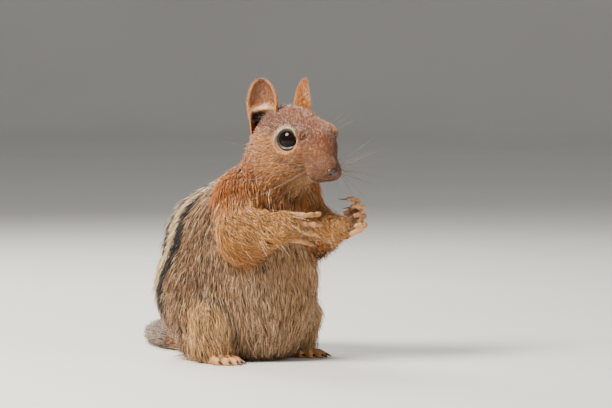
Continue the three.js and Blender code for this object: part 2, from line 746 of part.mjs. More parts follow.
for (const { side, s } of SIDES) {
  let solid = solidOf(sole(s));
  TOES.forEach((each, i) => {
    const one = toe(s, each);
    solid = solid.add(solidOf(loft(one.rings)));
    const horn = solidOf(claw(one, TOE_CLAW, 0.8));
    node(`claw_foot_${side}_${i + 1}`, horn, COLOURS.claw, { roughness: 0.35 });
  });
  node(`foot_${side}`, solid.subtract(bodyGrown), COLOURS.paw);
}

// Tail, laid along the floor in a slow curve to its left: a core, and flat tapered locks that grow
// back from it and overlap, out to the tips of the hair
const TAIL_START = vec(1, 35, 0);
const TAIL_TURN = [radians(10), radians(66)]; // its heading from +Y towards +X, at each end
const LOCK_SHARE = 0.33; // a lock's length as a share of the tail's
const LOCK_WIDTHS = [2.4, 5.4, 4.4, 0.5]; // to each side, at four sections from its root to its tip
const LOCK_DEPTHS = [1, 1, 0.8, 0.2];
const LOCK_ROWS = 5;
const CORE_END = 0.8; // where the core stops, as a share of the tail's length
const TAIL_CUTS = [0.34, 0.66]; // and where the tail is parted into three

function tailAt(t) {
  const [start, end] = TAIL_TURN;
  const radius = TAIL_LENGTH / (end - start);
  const heading = mix(start, end, t);
  return TAIL_START.clone().add(
    vec(
      radius * (Math.cos(start) - Math.cos(heading)),
      radius * (Math.sin(heading) - Math.sin(start)),
      mix(5.6, 4, t),
    ),
  );
}
const tailAlong = (t) => {
  const heading = mix(TAIL_TURN[0], TAIL_TURN[1], t);
  return vec(Math.sin(heading), Math.cos(heading), 0);
};
// The share of its full reach that the hair has along the tail: less at the root, little at the tip
function tailReach(t) {
  const widening = Math.min(1, 0.62 + 1.3 * t);
  const narrowing = Math.max(1 - (Math.max(t - 0.55, 0) / 0.5) ** 2, 0.03);
  return widening * Math.sqrt(narrowing);
}

function lock(start, around, length) {
  const turn = radians(around);
  const rings = [0, 0.35, 0.7, 1].map((v, i) => {
    const t = start + length * v;
    const reach = tailReach(t) * mix(0.3, 1, v ** 0.6);
    const side = vec(tailAlong(t).y, -tailAlong(t).x, 0);
    const radial = side.multiplyScalar(TAIL_SIDE * Math.cos(turn)).setZ(TAIL_RISE * Math.sin(turn));
    const middle = tailAt(t).addScaledVector(radial, reach);
    const across = radial.clone().cross(tailAlong(t)).normalize();
    const outward = tailAlong(t).cross(across).normalize();
    const wide = LOCK_WIDTHS[i];
    const thick = LOCK_DEPTHS[i];
    return [
      middle.clone().addScaledVector(across, wide),
      middle.clone().addScaledVector(outward, thick),
      middle.clone().addScaledVector(across, -wide),
      middle.clone().addScaledVector(outward, -thick),
    ];
  });
  return loft(rings);
}

const coreStations = [-0.03, 0.2, 0.45, 0.7, CORE_END].map((t) => {
  return { at: tailAt(t), r: mix(5, 2, Math.max(t, 0)), flat: 0.85 };
});
let tail = solidOf(tube(coreStations, vec(0, 0, 1)));
for (let row = 0; row < LOCK_ROWS; row++) {
  const start = -0.02 + (CORE_END - 0.02) * (row / (LOCK_ROWS - 1));
  const angles = row % 2 ? [-34, 38, 90, 142, 214] : [2, 62, 118, 178];
  angles.forEach((around, i) => {
    const varied = 1 + 0.12 * Math.sin(5 * row + 3 * i);
    const shifted = start + 0.012 * Math.sin(7 * row + 4 * i);
    tail = tail.add(solidOf(lock(shifted, around, LOCK_SHARE * varied)));
  });
}
tail = tail.intersect(aboveFloor).subtract(bodyGrown);
const beyond = (t, lift = 0) => blockBeyond(tailAt(t), tailAlong(t), lift);
node("tail_base", tail.subtract(beyond(TAIL_CUTS[0], -GAP)), COLOURS.tail);
const tailRear = tail.intersect(beyond(TAIL_CUTS[0]));
node("tail_middle", tailRear.subtract(beyond(TAIL_CUTS[1], -GAP)), COLOURS.tail);
node("tail_tip", tail.intersect(beyond(TAIL_CUTS[1])), COLOURS.tail);

export default group;
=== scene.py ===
# %% [markdown]
# # A golden-mantled ground squirrel in its coat
# The animal sits up on its haunches with both forepaws raised. The frame holds its solids, out to
# the outline of the coat. Here it gets one skin, a coat of tufts that lie along it, and finer eyes,
# ears, nose, paws, claws, whiskers and tail. Sizes are in millimetres, as an animal is measured, and
# a mesh becomes metres when it is made. The animal faces -Y, so its left side is +X.

import json

import bpy
import numpy as np
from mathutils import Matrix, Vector

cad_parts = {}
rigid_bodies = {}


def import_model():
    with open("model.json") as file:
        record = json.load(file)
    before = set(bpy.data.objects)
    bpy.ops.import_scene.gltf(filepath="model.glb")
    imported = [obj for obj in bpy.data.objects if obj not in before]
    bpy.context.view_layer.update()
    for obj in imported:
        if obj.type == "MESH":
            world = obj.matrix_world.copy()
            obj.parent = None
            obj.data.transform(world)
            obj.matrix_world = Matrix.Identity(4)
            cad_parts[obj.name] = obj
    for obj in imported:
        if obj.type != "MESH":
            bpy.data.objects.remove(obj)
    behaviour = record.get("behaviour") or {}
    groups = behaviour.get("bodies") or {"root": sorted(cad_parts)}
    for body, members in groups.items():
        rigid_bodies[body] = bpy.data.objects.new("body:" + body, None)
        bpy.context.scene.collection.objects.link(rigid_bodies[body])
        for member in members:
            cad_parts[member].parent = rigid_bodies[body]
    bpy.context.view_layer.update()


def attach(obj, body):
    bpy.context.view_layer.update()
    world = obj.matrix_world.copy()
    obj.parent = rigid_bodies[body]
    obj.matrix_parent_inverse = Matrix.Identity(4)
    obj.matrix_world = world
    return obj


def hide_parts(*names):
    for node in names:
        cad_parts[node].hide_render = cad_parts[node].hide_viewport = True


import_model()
MM = 0.001
SIDES = {"right": -1, "left": 1}
rng = np.random.default_rng(11)

# %% [markdown]
# ## The camera
# The picture was taken with a long lens from in front of the animal and to its right, almost level
# with it. A long lens far away keeps the near paw and the far ear at one scale. The place of the
# camera follows from two angles, one distance, and the pixel where the part's origin lies.

# %% Camera
IMAGE = np.array([612, 408])
PIXEL = 0.48  # size of one pixel at the animal
ORIGIN_PIXEL = np.array([238, 357])  # the origin's place in the picture
AZIMUTH, ELEVATION = np.radians(-42), np.radians(3)
DISTANCE = 1600
SENSOR = 36

camera_back = np.array(
    [np.sin(AZIMUTH) * np.cos(ELEVATION), -np.cos(AZIMUTH) * np.cos(ELEVATION), np.sin(ELEVATION)]
)
camera_right = np.array([np.cos(AZIMUTH), np.sin(AZIMUTH), 0.0])
camera_up = np.cross(camera_back, camera_right)
shift = (IMAGE / 2 - ORIGIN_PIXEL) * PIXEL * [1, -1]
aim = camera_right * shift[0] + camera_up * shift[1]

camera = bpy.data.objects.new("camera", bpy.data.cameras.new("camera"))
bpy.context.scene.collection.objects.link(camera)
camera.location = (aim + camera_back * DISTANCE) * MM
camera.rotation_euler = Vector(camera_back).to_track_quat("Z", "Y").to_euler()
camera.data.sensor_width = SENSOR
camera.data.lens = SENSOR * DISTANCE / (IMAGE[0] * PIXEL)
bpy.context.scene.camera = camera
print("lens:", round(camera.data.lens, 1), "mm")

# %% [markdown]
# ## Shader sums
# A material is easier to read as a sum than as a list of nodes. This class wraps one output of a
# node. Plain operators on it add Math nodes, and one method makes every other kind of node.


# %% Shader helper
class Wire:
    """One output of a shader node. a + b, a - b and a * b each add a Math node."""

    def __init__(self, tree, socket=None):
        self.tree = tree
        self.socket = socket

    def node(self, kind, settings=None, inputs=None, output=0):
        """Adds a node, sets its settings, then sets or links its inputs, and returns one output."""
        made = self.tree.nodes.new("ShaderNode" + kind)
        for name, value in (settings or {}).items():
            if name == "stops":
                ramp = made.color_ramp.elements
                while len(ramp) < len(value):
                    ramp.new(0.5)
                for stop, (position, colour) in zip(ramp, value):
                    stop.position = position
                    stop.color = (*colour, 1.0)
            else:
                setattr(made, name, value)
        for name, value in (inputs or {}).items():
            if isinstance(value, Wire):
                self.tree.links.new(value.socket, made.inputs[name])
            else:
                made.inputs[name].default_value = value
        return Wire(self.tree, made.outputs[output])

    def maths(self, operation, a, b):
        return self.node("Math", {"operation": operation}, {0: a, 1: b})

    def __add__(self, other):
        return self.maths("ADD", self, other)

    def __sub__(self, other):
        return self.maths("SUBTRACT", self, other)

    def __mul__(self, other):
        return self.maths("MULTIPLY", self, other)

    __radd__ = __add__

    def between(self, low, high):
        """0 below low, 1 above high, and a smooth step from one to the other."""
        inputs = {"Value": self, "From Min": low, "From Max": high}
        return self.node("MapRange", {"interpolation_type": "SMOOTHSTEP"}, inputs)

    def colours(self, a, b):
        """Colour a where this value is 0, colour b where it is 1, and a mix of them between."""
        return self.node("Mix", {"data_type": "RGBA"}, {0: self, 6: (*a, 1.0), 7: (*b, 1.0)}, 2)

    def scaled(self, factor):
        """This colour times a number."""
        return self.node("VectorMath", {"operation": "SCALE"}, {0: self, "Scale": factor})

    def noise(self, scale, detail=2.0, stretch=(1, 1, 1)):
        """Noise on Object coordinates, drawn out along the axes whose stretch is small."""
        place = self.node("TexCoord", output="Object")
        place = self.node("Mapping", {}, {"Vector": place, "Scale": stretch})
        return self.node("TexNoise", {}, {"Vector": place, "Scale": scale, "Detail": detail}, "Fac")

    def markings(self, output="Color"):
        """The colour that the piece's own attribute holds, or with Alpha the place along a hair."""
        return self.node("Attribute", {"attribute_name": "markings"}, output=output)

    def bump(self, strength, distance):
        inputs = {"Height": self, "Strength": strength, "Distance": distance * MM}
        return self.node("Bump", {}, inputs)


def srgb(red, green, blue):
    """A colour as a screen shows it, 0 to 255, turned into the share of light that it gives back."""
    c = np.array([red, green, blue]) / 255
    return np.where(c < 0.04045, c / 12.92, ((c + 0.055) / 1.055) ** 2.4)


def finish(name, paint, **constants):
    """A material. paint(start) returns what its shader's sockets are linked to."""
    made = bpy.data.materials.new(name)
    made.use_nodes = True
    shader = made.node_tree.nodes["Principled BSDF"]
    for socket, value in constants.items():
        shader.inputs[socket.replace("_", " ")].default_value = value
    for socket, wire in paint(Wire(made.node_tree)).items():
        made.node_tree.links.new(wire.socket, shader.inputs[socket])
    return made


def mottled(scale, one, other):
    """The paint of a plain surface: one colour and another, mixed by noise."""
    return lambda start: {"Base Color": start.noise(scale).colours(one, other)}


# %% [markdown]
# ## From numbers to a mesh
# A shape here is an array of points and an array of faces. The faces of a grid follow from its rows
# and columns alone. A tube is the commonest shape: rings carried along a path, closed at both ends.


# %% Mesh helpers
def grid_faces(rows, columns, around=True):
    """Quads between neighbouring rows of a grid of points. around joins the last column to the first."""
    row = np.arange(rows - 1)[:, None] * columns
    column = np.arange(columns if around else columns - 1)[None, :]
    beside = (column + 1) % columns
    corners = [row + column, row + beside, row + columns + beside, row + columns + column]
    return np.stack(corners, axis=-1).reshape(-1, 4)


def triangles(faces):
    """Each quad as two triangles. Triangles are left as they are."""
    faces = np.asarray(faces, dtype=np.int32)
    return faces if faces.shape[1] == 3 else np.concatenate([faces[:, :3], faces[:, [0, 2, 3]]])


def outward(points, faces):
    """The faces turned to point out, so that the sum of a . (b x c) over their triangles is positive."""
    a, b, c = (points[corner] for corner in triangles(faces).T)
    volume = np.einsum("ij,ij->i", a, np.cross(b, c)).sum()
    return faces if volume > 0 else faces[:, ::-1]


def joined(parts):
    """Several (points, faces) as one. The faces become triangles."""
    offsets = np.cumsum([0] + [len(points) for points, _ in parts[:-1]])
    faces = [triangles(faces) + offset for (_, faces), offset in zip(parts, offsets)]
    return np.concatenate([points for points, _ in parts]), np.concatenate(faces)


def unit(v):
    """Vectors of length 1."""
    return v / np.maximum(np.linalg.norm(v, axis=-1, keepdims=True), 1e-9)


def square_to(v, *axes):
    """A vector without its share along each unit axis, v - (v . axis) axis, at length 1."""
    for axis in axes:
        v = v - (v @ axis) * axis
    return unit(v)


def bead(count, full=1.03, least=0.03):
    """Radii along a bead, as shares of its own, for u from -1 to 1: the root of full - u^2, and never
    less than the root of least."""
    return np.sqrt(np.clip(full - np.linspace(-1, 1, count) ** 2, least, 1))


def capped(rings):
    """A grid of rings as a closed skin: each end is closed by triangles on the mean of its ring."""
    rows, columns = rings.shape[:2]
    first, last = rows * columns, rows * columns + 1
    points = np.concatenate([rings.reshape(-1, 3), rings[[0, -1]].mean(axis=1)])
    column = np.arange(columns)
    beside = (column + 1) % columns
    top = (rows - 1) * columns
    caps = [[beside, column, column * 0 + first], [top + column, top + beside, column * 0 + last]]
    caps = np.concatenate([np.stack(cap, axis=-1) for cap in caps])
    faces = np.concatenate([triangles(grid_faces(rows, columns)), caps])
    return points, outward(points, faces)


def tube(path, radii, up, sides=12, flat=1.0):
    """Rings carried along a path: r cos(a) across it and r flat sin(a) over it, where across is the
    path's direction x up."""
    along = unit(np.gradient(path, axis=0))
    across = unit(np.cross(along, up))
    over = np.cross(across, along)
    angle = np.linspace(0, 2 * np.pi, sides, endpoint=False)
    radii = np.broadcast_to(radii, len(path))
    flat = np.broadcast_to(flat, len(path))
    rings = (
        path[:, None]
        + (radii[:, None] * np.cos(angle))[..., None] * across[:, None]
        + ((radii * flat)[:, None] * np.sin(angle))[..., None] * over[:, None]
    )
    return capped(rings)


def smooth_path(knots, count):
    """A curve through knots: between two it is the cubic whose slopes are half the way across them."""
    knots = np.asarray(knots, float)
    slope = np.gradient(knots, axis=0)
    at = np.linspace(0, len(knots) - 1, count)
    i = np.minimum(at.astype(int), len(knots) - 2)
    t = (at - i)[:, None]
    start, end = knots[i], knots[i + 1]
    rise = (2 * t**3 - 3 * t**2 + 1) * start + (3 * t**2 - 2 * t**3) * end
    return rise + (t**3 - 2 * t**2 + t) * slope[i] + (t**3 - t**2) * slope[i + 1]


def mesh_object(name, points, faces, material, markings=None):
    """A smooth mesh from points in millimetres and faces that all have the same number of corners."""
    faces = np.asarray(faces, dtype=np.int32)
    mesh = bpy.data.meshes.new(name)
    mesh.vertices.add(len(points))
    mesh.vertices.foreach_set("co", (np.asarray(points) * MM).astype(np.float32).ravel())
    mesh.loops.add(faces.size)
    mesh.loops.foreach_set("vertex_index", faces.ravel())
    mesh.polygons.add(len(faces))
    mesh.polygons.foreach_set("loop_start", np.arange(0, faces.size, faces.shape[1], dtype=np.int32))
    mesh.update(calc_edges=True)
    mesh.shade_smooth()
    if markings is not None:
        layer = mesh.color_attributes.new("markings", "FLOAT_COLOR", "POINT")
        layer.data.foreach_set("color", markings.astype(np.float32).ravel())
    mesh.materials.append(material)
    made = bpy.data.objects.new(name, mesh)
    bpy.context.scene.collection.objects.link(made)
    return made


def piece(name, shape, material, replaces=(), markings=None):
    """A part of the animal: its mesh, the body it rides on and the nodes it stands for."""
    made = mesh_object(name, *shape, material, markings)
    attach(made, "root")
    if replaces:
        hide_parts(*replaces)
    print(f"{name}: {len(triangles(shape[1]))} triangles")
    return made


# %% [markdown]
# ## Floor and light
# The floor is pale and plain, a disc that rises into a wall all round, so that no edge crosses the
# picture from any side. The picture's own light is a high sun from the left. A soft lamp stands on
# the same side, so that shoulder, forearm and brow are bright and the belly falls into shade.

# %% Floor and backdrop
FLOOR_RADIUS, COVE, WALL = 3200, 900, 1500


def dish(segments=96, steps=16):
    """A profile turned about the Z axis: a flat floor, a quarter round of radius COVE and a wall."""
    bend = np.linspace(0, np.pi / 2, steps)
    radius = np.concatenate([[10, 300], FLOOR_RADIUS + COVE * np.sin(bend), [FLOOR_RADIUS + COVE]])
    height = np.concatenate([[0, 0], COVE - COVE * np.cos(bend), [COVE + WALL]])
    angle = np.linspace(0, 2 * np.pi, segments, endpoint=False)
    ring = np.stack([np.cos(angle), np.sin(angle)], axis=1)
    height = np.broadcast_to(height[:, None, None], (len(radius), segments, 1))
    points = np.concatenate([radius[:, None, None] * ring, height], axis=2).reshape(-1, 3)
    centre = np.array([[0, 0, 0]])
    fan = np.stack([np.arange(segments), (np.arange(segments) + 1) % segments], axis=1)
    fan = np.concatenate([fan, np.full((segments, 1), len(points))], axis=1)
    faces = np.concatenate([triangles(grid_faces(len(radius), segments)[:, ::-1]), fan])
    return np.concatenate([points, centre]), faces


paper = finish("paper", mottled(3.0, srgb(214, 211, 205), srgb(224, 221, 216)), Roughness=0.85)
floor = mesh_object("floor", *dish(), paper)


# %% Lamps
LIT = np.array([0, -15, 65])  # the place that every lamp faces


def lamp(name, towards, distance, size, power, colour):
    """A square soft lamp that faces LIT from a direction."""
    data = bpy.data.lights.new(name, "AREA")
    data.size = size * MM
    data.energy = power
    data.color = colour
    made = bpy.data.objects.new(name, data)
    bpy.context.scene.collection.objects.link(made)
    towards = unit(np.array(towards, float))
    made.location = (LIT + towards * distance) * MM
    made.rotation_euler = Vector(towards).to_track_quat("Z", "Y").to_euler()


sky = np.array([0, 0, 1])
lamp("key", -0.8 * camera_right + 0.7 * camera_back + 1.0 * sky, 900, 340, 24, (1.0, 0.94, 0.86))
lamp("fill", 0.9 * camera_right + 0.8 * camera_back + 0.3 * sky, 1100, 800, 3.0, (0.94, 0.97, 1.0))
lamp("rim", -0.4 * camera_right - 0.9 * camera_back + 0.9 * sky, 900, 500, 10, (1.0, 0.97, 0.93))

world = bpy.data.worlds.new("studio")
world.use_nodes = True
world.node_tree.nodes["Background"].inputs["Color"].default_value = (0.92, 0.94, 0.97, 1)
world.node_tree.nodes["Background"].inputs["Strength"].default_value = 0.34
bpy.context.scene.world = world

# %% [markdown]
# ## The body as a distance
# A body of flesh has no grid lines of its own: trunk, thigh and arm run into one another. So it is
# described by a distance, negative inside. Ellipsoids and tapered limbs give distances, and a smooth
# minimum joins them with a fillet. In trunk and head the balls and limbs are those of the solids, and
# only some fillets are a little wider or narrower.


# %% Distances
def ellipsoid(p, centre, radii):
    """k (k - 1) / s: k is the length of the offset over the radii, s of that over their squares."""
    offset = p - np.array(centre)
    near = np.linalg.norm(offset / np.array(radii), axis=1) + 1e-6
    slope = np.linalg.norm(offset / np.square(radii), axis=1) + 1e-9
    return near * (near - 1) / slope


def limb(p, a, b, ra, rb):
    """Distance to the nearest point of the line from a to b, less a radius that runs from ra to rb."""
    a, along = np.array(a, float), np.array(b, float) - a
    t = np.clip((p - a) @ along / (along @ along), 0, 1)
    return np.linalg.norm(p - a - t[:, None] * along, axis=1) - (ra + (rb - ra) * t)


def smooth_min(width, *distances):
    """The least distance, with a fillet: (1 - h) b + h a - w h (1 - h), h = 1/2 + (b - a) / 2w."""
    low = distances[0]
    for each in distances[1:]:
        h = np.clip(0.5 + 0.5 * (each - low) / width, 0, 1)
        low = (1 - h) * each + h * low - width * h * (1 - h)
    return low


def step(value, low, high):
    """0 below low, 1 above high, and 3t^2 - 2t^3 between them."""
    t = np.clip((value - low) / (high - low), 0, 1)
    return t * t * (3 - 2 * t)


# %% Head frame
HEAD_AT = np.array([1.5, -48.8, 104.5])
HEAD_YAW, HEAD_PITCH = np.radians(-7), np.radians(22)
head_forward = np.array(
    [np.sin(HEAD_YAW) * np.cos(HEAD_PITCH), -np.cos(HEAD_YAW) * np.cos(HEAD_PITCH), -np.sin(HEAD_PITCH)]
)
head_left = np.array([np.cos(HEAD_YAW), np.sin(HEAD_YAW), 0.0])
HEAD_AXES = np.stack([head_forward, head_left, np.cross(head_forward, head_left)])


def to_head(p):
    """A place in the head's own frame: x forward to the nose, y to its left, z up."""
    return (p - HEAD_AT) @ HEAD_AXES.T


def from_head(q):
    return np.asarray(q, float) @ HEAD_AXES + HEAD_AT


# %% Joints of the skeleton
HIP, KNEE, SHIN, ANKLE = [17, 9, 31], [25.5, -13, 21], [25.5, -12, 10.5], [23, 5, 12]
SHOULDER, ELBOW = [16, -22, 79], [22.5, -29, 62]
NECK_BASE, NECK_END = [0.5, -21.5, 83], [0.5, -34.5, 100]
HANDS = {
    "right": dict(wrist=[-17.6, -53.4, 66], cuff=(9.5, 6.6, 3.6), along=[0.85, -0.512, -0.123],
                  across=[0.1, -0.07, 0.99], bends=(10, 26, 20)),
    "left": dict(wrist=[17.4, -56, 64.8], cuff=(9, 5, 1.5), along=[0.48, -0.74, 0.47],
                 across=[0.15, 0.6, 0.79], bends=(35, 75, 32)),
}


def mirrored(v, side):
    """A place of the animal's left on the given side."""
    return np.array(v, float) * [SIDES[side], 1, 1]


# %% Body and head
def trunk(p):
    return smooth_min(
        12,
        ellipsoid(p, (0, 12, 38.5), (29, 29, 40)),
        ellipsoid(p, (1, -11, 40.5), (31, 31, 41.5)),
        ellipsoid(p, (0, 3.5, 57), (28, 31, 26)),
        ellipsoid(p, (1, -16, 72), (23, 22, 20)),
    )


def haunch(p, side):
    hip, knee, shin, ankle = (mirrored(v, side) for v in (HIP, KNEE, SHIN, ANKLE))
    return smooth_min(
        7,
        ellipsoid(p, mirrored((19, 7, 34), side), (16, 26, 22)),
        limb(p, hip, knee, 16, 10.5),
        limb(p, knee, shin, 10, 8.6),
        limb(p, shin, ankle, 8.6, 7.5),
    )


def upper_arm(p, side):
    return limb(p, mirrored(SHOULDER, side), mirrored(ELBOW, side), 14, 9.5)


def forearm(p, side):
    hand = HANDS[side]
    wrist = np.array(hand["wrist"])
    thick, thin, over = hand["cuff"]
    end = wrist + over * np.array(hand["along"])
    return smooth_min(
        4, limb(p, mirrored(ELBOW, side), wrist, thick, thin), limb(p, wrist, end, thin, 0.74 * thin)
    )


def head(q):
    """The head in its own frame: skull, brow, bridge, jaw, cheeks, lips and the ridge over each eye."""

    def pair(forward, beside, above, radii):
        return [ellipsoid(q, (forward, beside * s, above), radii) for s in SIDES.values()]

    cheeks = pair(-5, 9, -6, (13, 6.5, 9))
    jowls = pair(-12, 7.5, -11, (12, 7, 9))
    lips = pair(17, 3.9, -7.4, (5.6, 4.3, 4.2))
    ridges = pair(0, 9.3, 6.2, (7.4, 4.3, 3.2))
    skull = smooth_min(
        5,
        ellipsoid(q, (-12, 0, 0), (18, 14.5, 11.5)),
        ellipsoid(q, (2, 0, 1), (14, 11, 9)),
        limb(q, (5, 0, -3), (18, 0, -5), 9.6, 5.8),
        limb(q, (-4, 0, -12), (12.5, 0, -11.5), 7, 3.2),
        *cheeks,
        *jowls,
    )
    return smooth_min(3, skull, *lips, *ridges)


def nearest(part, p):
    """The lesser of the distances to a part of the right side and to that of the left."""
    return np.min([part(p, side) for side in SIDES], axis=0)


def outline(p):
    """The coat's outline: the solids' body, head and forearms."""
    body = smooth_min(
        7,
        smooth_min(8, trunk(p), limb(p, NECK_BASE, NECK_END, 17, 18)),
        *[haunch(p, side) for side in SIDES],
        *[upper_arm(p, side) for side in SIDES],
        *[forearm(p, side) for side in SIDES],
    )
    return smooth_min(6, body, head(to_head(p)))


# %% [markdown]
# ## The skin
# The skin lies inside the outline by the depth of the coat: most on the flanks, least on the muzzle.
# A mesh on a distance is found on a fine lattice of points. Each cell that the surface crosses gets
# one vertex, each lattice edge that it crosses gets one quad, and the vertices are then walked along
# the slope onto the surface. Only cells near the surface are worked out.

# %% Depth of the coat
EYE_RADIUS = 6.3
EYE_AT = {side: np.array([-2.3, 8.3 * s, 0.3]) for side, s in SIDES.items()}
EYE_OUT = {side: unit(np.array([0.42, 0.89 * s, 0.18])) for side, s in SIDES.items()}
HOLLOW = (5.9, 3.6)  # of the hollow before an eye: half its width, and its depth
SOCKET_GAP = 0.15  # between an eye and the skin behind it
FLANK_DEPTH = 2.8


def near_head(p):
    """1 on the head and 0 well away from it."""
    return 1 - step(head(to_head(p)), 1.0, 9.0)


def coat_depth(p):
    """How deep the skin lies: FLANK_DEPTH on the body, less on the arms, and least towards the nose."""
    on_head = np.interp(to_head(p)[:, 0], [-30, -12, 4, 14], [2.4, 1.2, 0.7, 0.3])
    on_body = FLANK_DEPTH - 1.2 * (1 - step(nearest(forearm, p), 0, 8))
    return on_body + (on_head - on_body) * near_head(p)


def ground(p):
    """The outline less the coat: where hair is rooted."""
    return outline(p) + coat_depth(p)


def from_eye(q, side):
    """A place's offset from an eye's middle: all of it, how far it is forward, and what is across."""
    offset = q - EYE_AT[side]
    forward = offset @ EYE_OUT[side]
    return offset, forward, offset - forward[:, None] * EYE_OUT[side]


def socket(q, side):
    """A ball round the eye, and the shallow hollow before it in which the lids lie."""
    offset, forward, across = from_eye(q, side)
    ball = np.linalg.norm(offset, axis=1) - EYE_RADIUS - SOCKET_GAP
    wide = np.linalg.norm(across, axis=1)
    hollow = (np.hypot(wide / HOLLOW[0], (forward - EYE_RADIUS) / HOLLOW[1]) - 1) * HOLLOW[1]
    return np.minimum(ball, hollow)


def skin_distance(p):
    """The ground of the coat, with a socket for each eye and a flat cut just over the floor."""
    q = to_head(p)
    return np.max([ground(p), *[-socket(q, side) for side in SIDES], 0.3 - p[:, 2]], axis=0)


# %% Mesh on a distance
def slope_of(distance, p, reach=0.05):
    """The slope of a distance, from its change over a short way along each axis."""
    here = distance(p)
    ahead = [distance(p + reach * axis) - here for axis in np.eye(3)]
    return here, np.stack(ahead, axis=1) / reach


def net(distance, low, high, size, coarse=4):
    """A closed mesh of quads on distance = 0, with one vertex in each cell of the given size."""
    low = np.array(low, float)
    blocks = np.ceil((np.array(high) - low) / (size * coarse)).astype(int)
    corners = np.stack(np.meshgrid(*[np.arange(n + 1) for n in blocks], indexing="ij"), axis=-1)
    value = distance((low + corners * size * coarse).reshape(-1, 3)).reshape(blocks + 1)
    eight = [(i, j, k) for i in (0, 1) for j in (0, 1) for k in (0, 1)]
    around = [value[i : i + blocks[0], j : j + blocks[1], k : k + blocks[2]] for i, j, k in eight]
    near = np.min(np.abs(around), axis=0) < size * coarse * 1.8
    fine, wanted = around[0], near
    for axis in range(3):
        fine = np.repeat(fine, coarse, axis=axis)
        wanted = np.repeat(wanted, coarse, axis=axis)
    fine = fine.copy()
    fine[wanted] = distance(low + np.argwhere(wanted) * size)

    cells = np.array(fine.shape) - 1
    corner_values = [fine[i : i + cells[0], j : j + cells[1], k : k + cells[2]] for i, j, k in eight]
    inside = np.sum([values < 0 for values in corner_values], axis=0)
    active = (inside > 0) & (inside < 8)
    start = low + (np.argwhere(active) + 0.5) * size
    points = start.copy()
    for _ in range(4):
        here, slope = slope_of(distance, points)
        points -= slope * (here / np.maximum((slope**2).sum(axis=1), 0.2))[:, None]
        points = start + np.clip(points - start, -0.6 * size, 0.6 * size)

    number = np.full(active.shape, -1)
    number[active] = np.arange(len(points))
    faces = []
    for axis in range(3):
        one, two = [i for i in range(3) if i != axis]
        ends = [np.take(fine, range(0, fine.shape[axis] - 1), axis) < 0,
                np.take(fine, range(1, fine.shape[axis]), axis) < 0]
        at = np.argwhere(ends[0] != ends[1])
        at = at[(at[:, one] > 0) & (at[:, two] > 0)]
        at = at[(at[:, one] < cells[one]) & (at[:, two] < cells[two])]
        out = ends[0][tuple(at.T)] ^ (axis == 1)
        back_one, back_two = np.eye(3, dtype=int)[[one, two]]
        quad = [at - back_one - back_two, at - back_two, at, at - back_one]
        quad = np.stack([number[tuple(cell.T)] for cell in quad], axis=1)
        faces.append(np.where(out[:, None], quad, quad[:, ::-1]))
    return points, np.concatenate(faces)


SKIN_SIZE = 0.8
skin_shape = net(skin_distance, (-46, -82, -4), (46, 48, 126), SKIN_SIZE)
print("skin points:", len(skin_shape[0]), "lowest:", skin_shape[0].min(axis=0).round(1))

# %% [markdown]
# ## Markings
# Skin and hair take their colour from one function of place, so they always agree. The mantle runs
# over head, neck, shoulders and arms. Behind it each side of the back has a cream stripe between two
# black ones. These are bands of angle round the trunk, counted from the middle of the back, so they
# follow the body as it narrows. A second value says how grizzled the hair is.

# %% Colours
RUSSET, CHEEK, CREAM = srgb(142, 74, 34), srgb(208, 134, 62), srgb(240, 212, 170)
MANTLE, ARM = srgb(190, 110, 44), srgb(228, 164, 90)
FLANK, BACK, BELLY = srgb(174, 129, 90), srgb(126, 94, 68), srgb(196, 152, 108)
BLACK, STRIPE, KNEE_TAN = srgb(30, 24, 22), srgb(246, 212, 164), srgb(226, 176, 118)
# SHADE_AND_DARK_HAIR is painted shade in the haunch crease, on the chest and under the muzzle, and the
# dark streak of hair under each eye
MUZZLE, CHIN, SHADE_AND_DARK_HAIR = srgb(124, 74, 46), srgb(222, 168, 104), srgb(66, 40, 24)
PAW, PAW_DARK = srgb(204, 150, 98), srgb(148, 96, 60)


# %% Markings by place
def ripple(p, wavelength, seed):
    """Smooth noise between about -1 and 1: a quarter of the sum of eight sines in random directions."""
    waves = np.random.default_rng(seed)
    turns = unit(waves.normal(size=(8, 3))) * waves.uniform(0.7, 1.4, (8, 1)) * 2 * np.pi / wavelength
    return np.sin(p @ turns.T + waves.uniform(0, 2 * np.pi, 8)).sum(axis=1) / 4


def band(value, middle, half, soft=2.5):
    """1 within half of the middle and 0 beyond it, with soft edges."""
    return 1 - step(np.abs(value - middle), half - soft / 2, half + soft / 2)


STRIPES = [(44, 6.0, BLACK), (57, 7.5, STRIPE), (70, 6.0, BLACK)]  # angle, half width, colour


def round_eye(q, side):
    """A place by an eye: its offset across the eye's axis, that offset's length, and 1 in front."""
    _, forward, wide = from_eye(q, side)
    return wide, np.linalg.norm(wide, axis=1), step(forward, -1, 1)


def back_angle(p):
    """Degrees round the trunk from the middle of the back, the same on both sides."""
    return np.degrees(np.arctan2(np.abs(p[:, 0] - 0.5), p[:, 1] + 1))


def mantle_share(p):
    """1 on neck, shoulders and arms, and 0 behind them."""
    neck = limb(p, NECK_BASE, NECK_END, 16, 18)
    arms = [limb(p, mirrored(SHOULDER, side), mirrored(ELBOW, side), 13, 10) for side in SIDES]
    arms += [forearm(p, side) for side in SIDES]
    return 1 - step(np.min([neck, *arms], axis=0) + 1.2 * ripple(p, 9, 3), 0.5, 5)


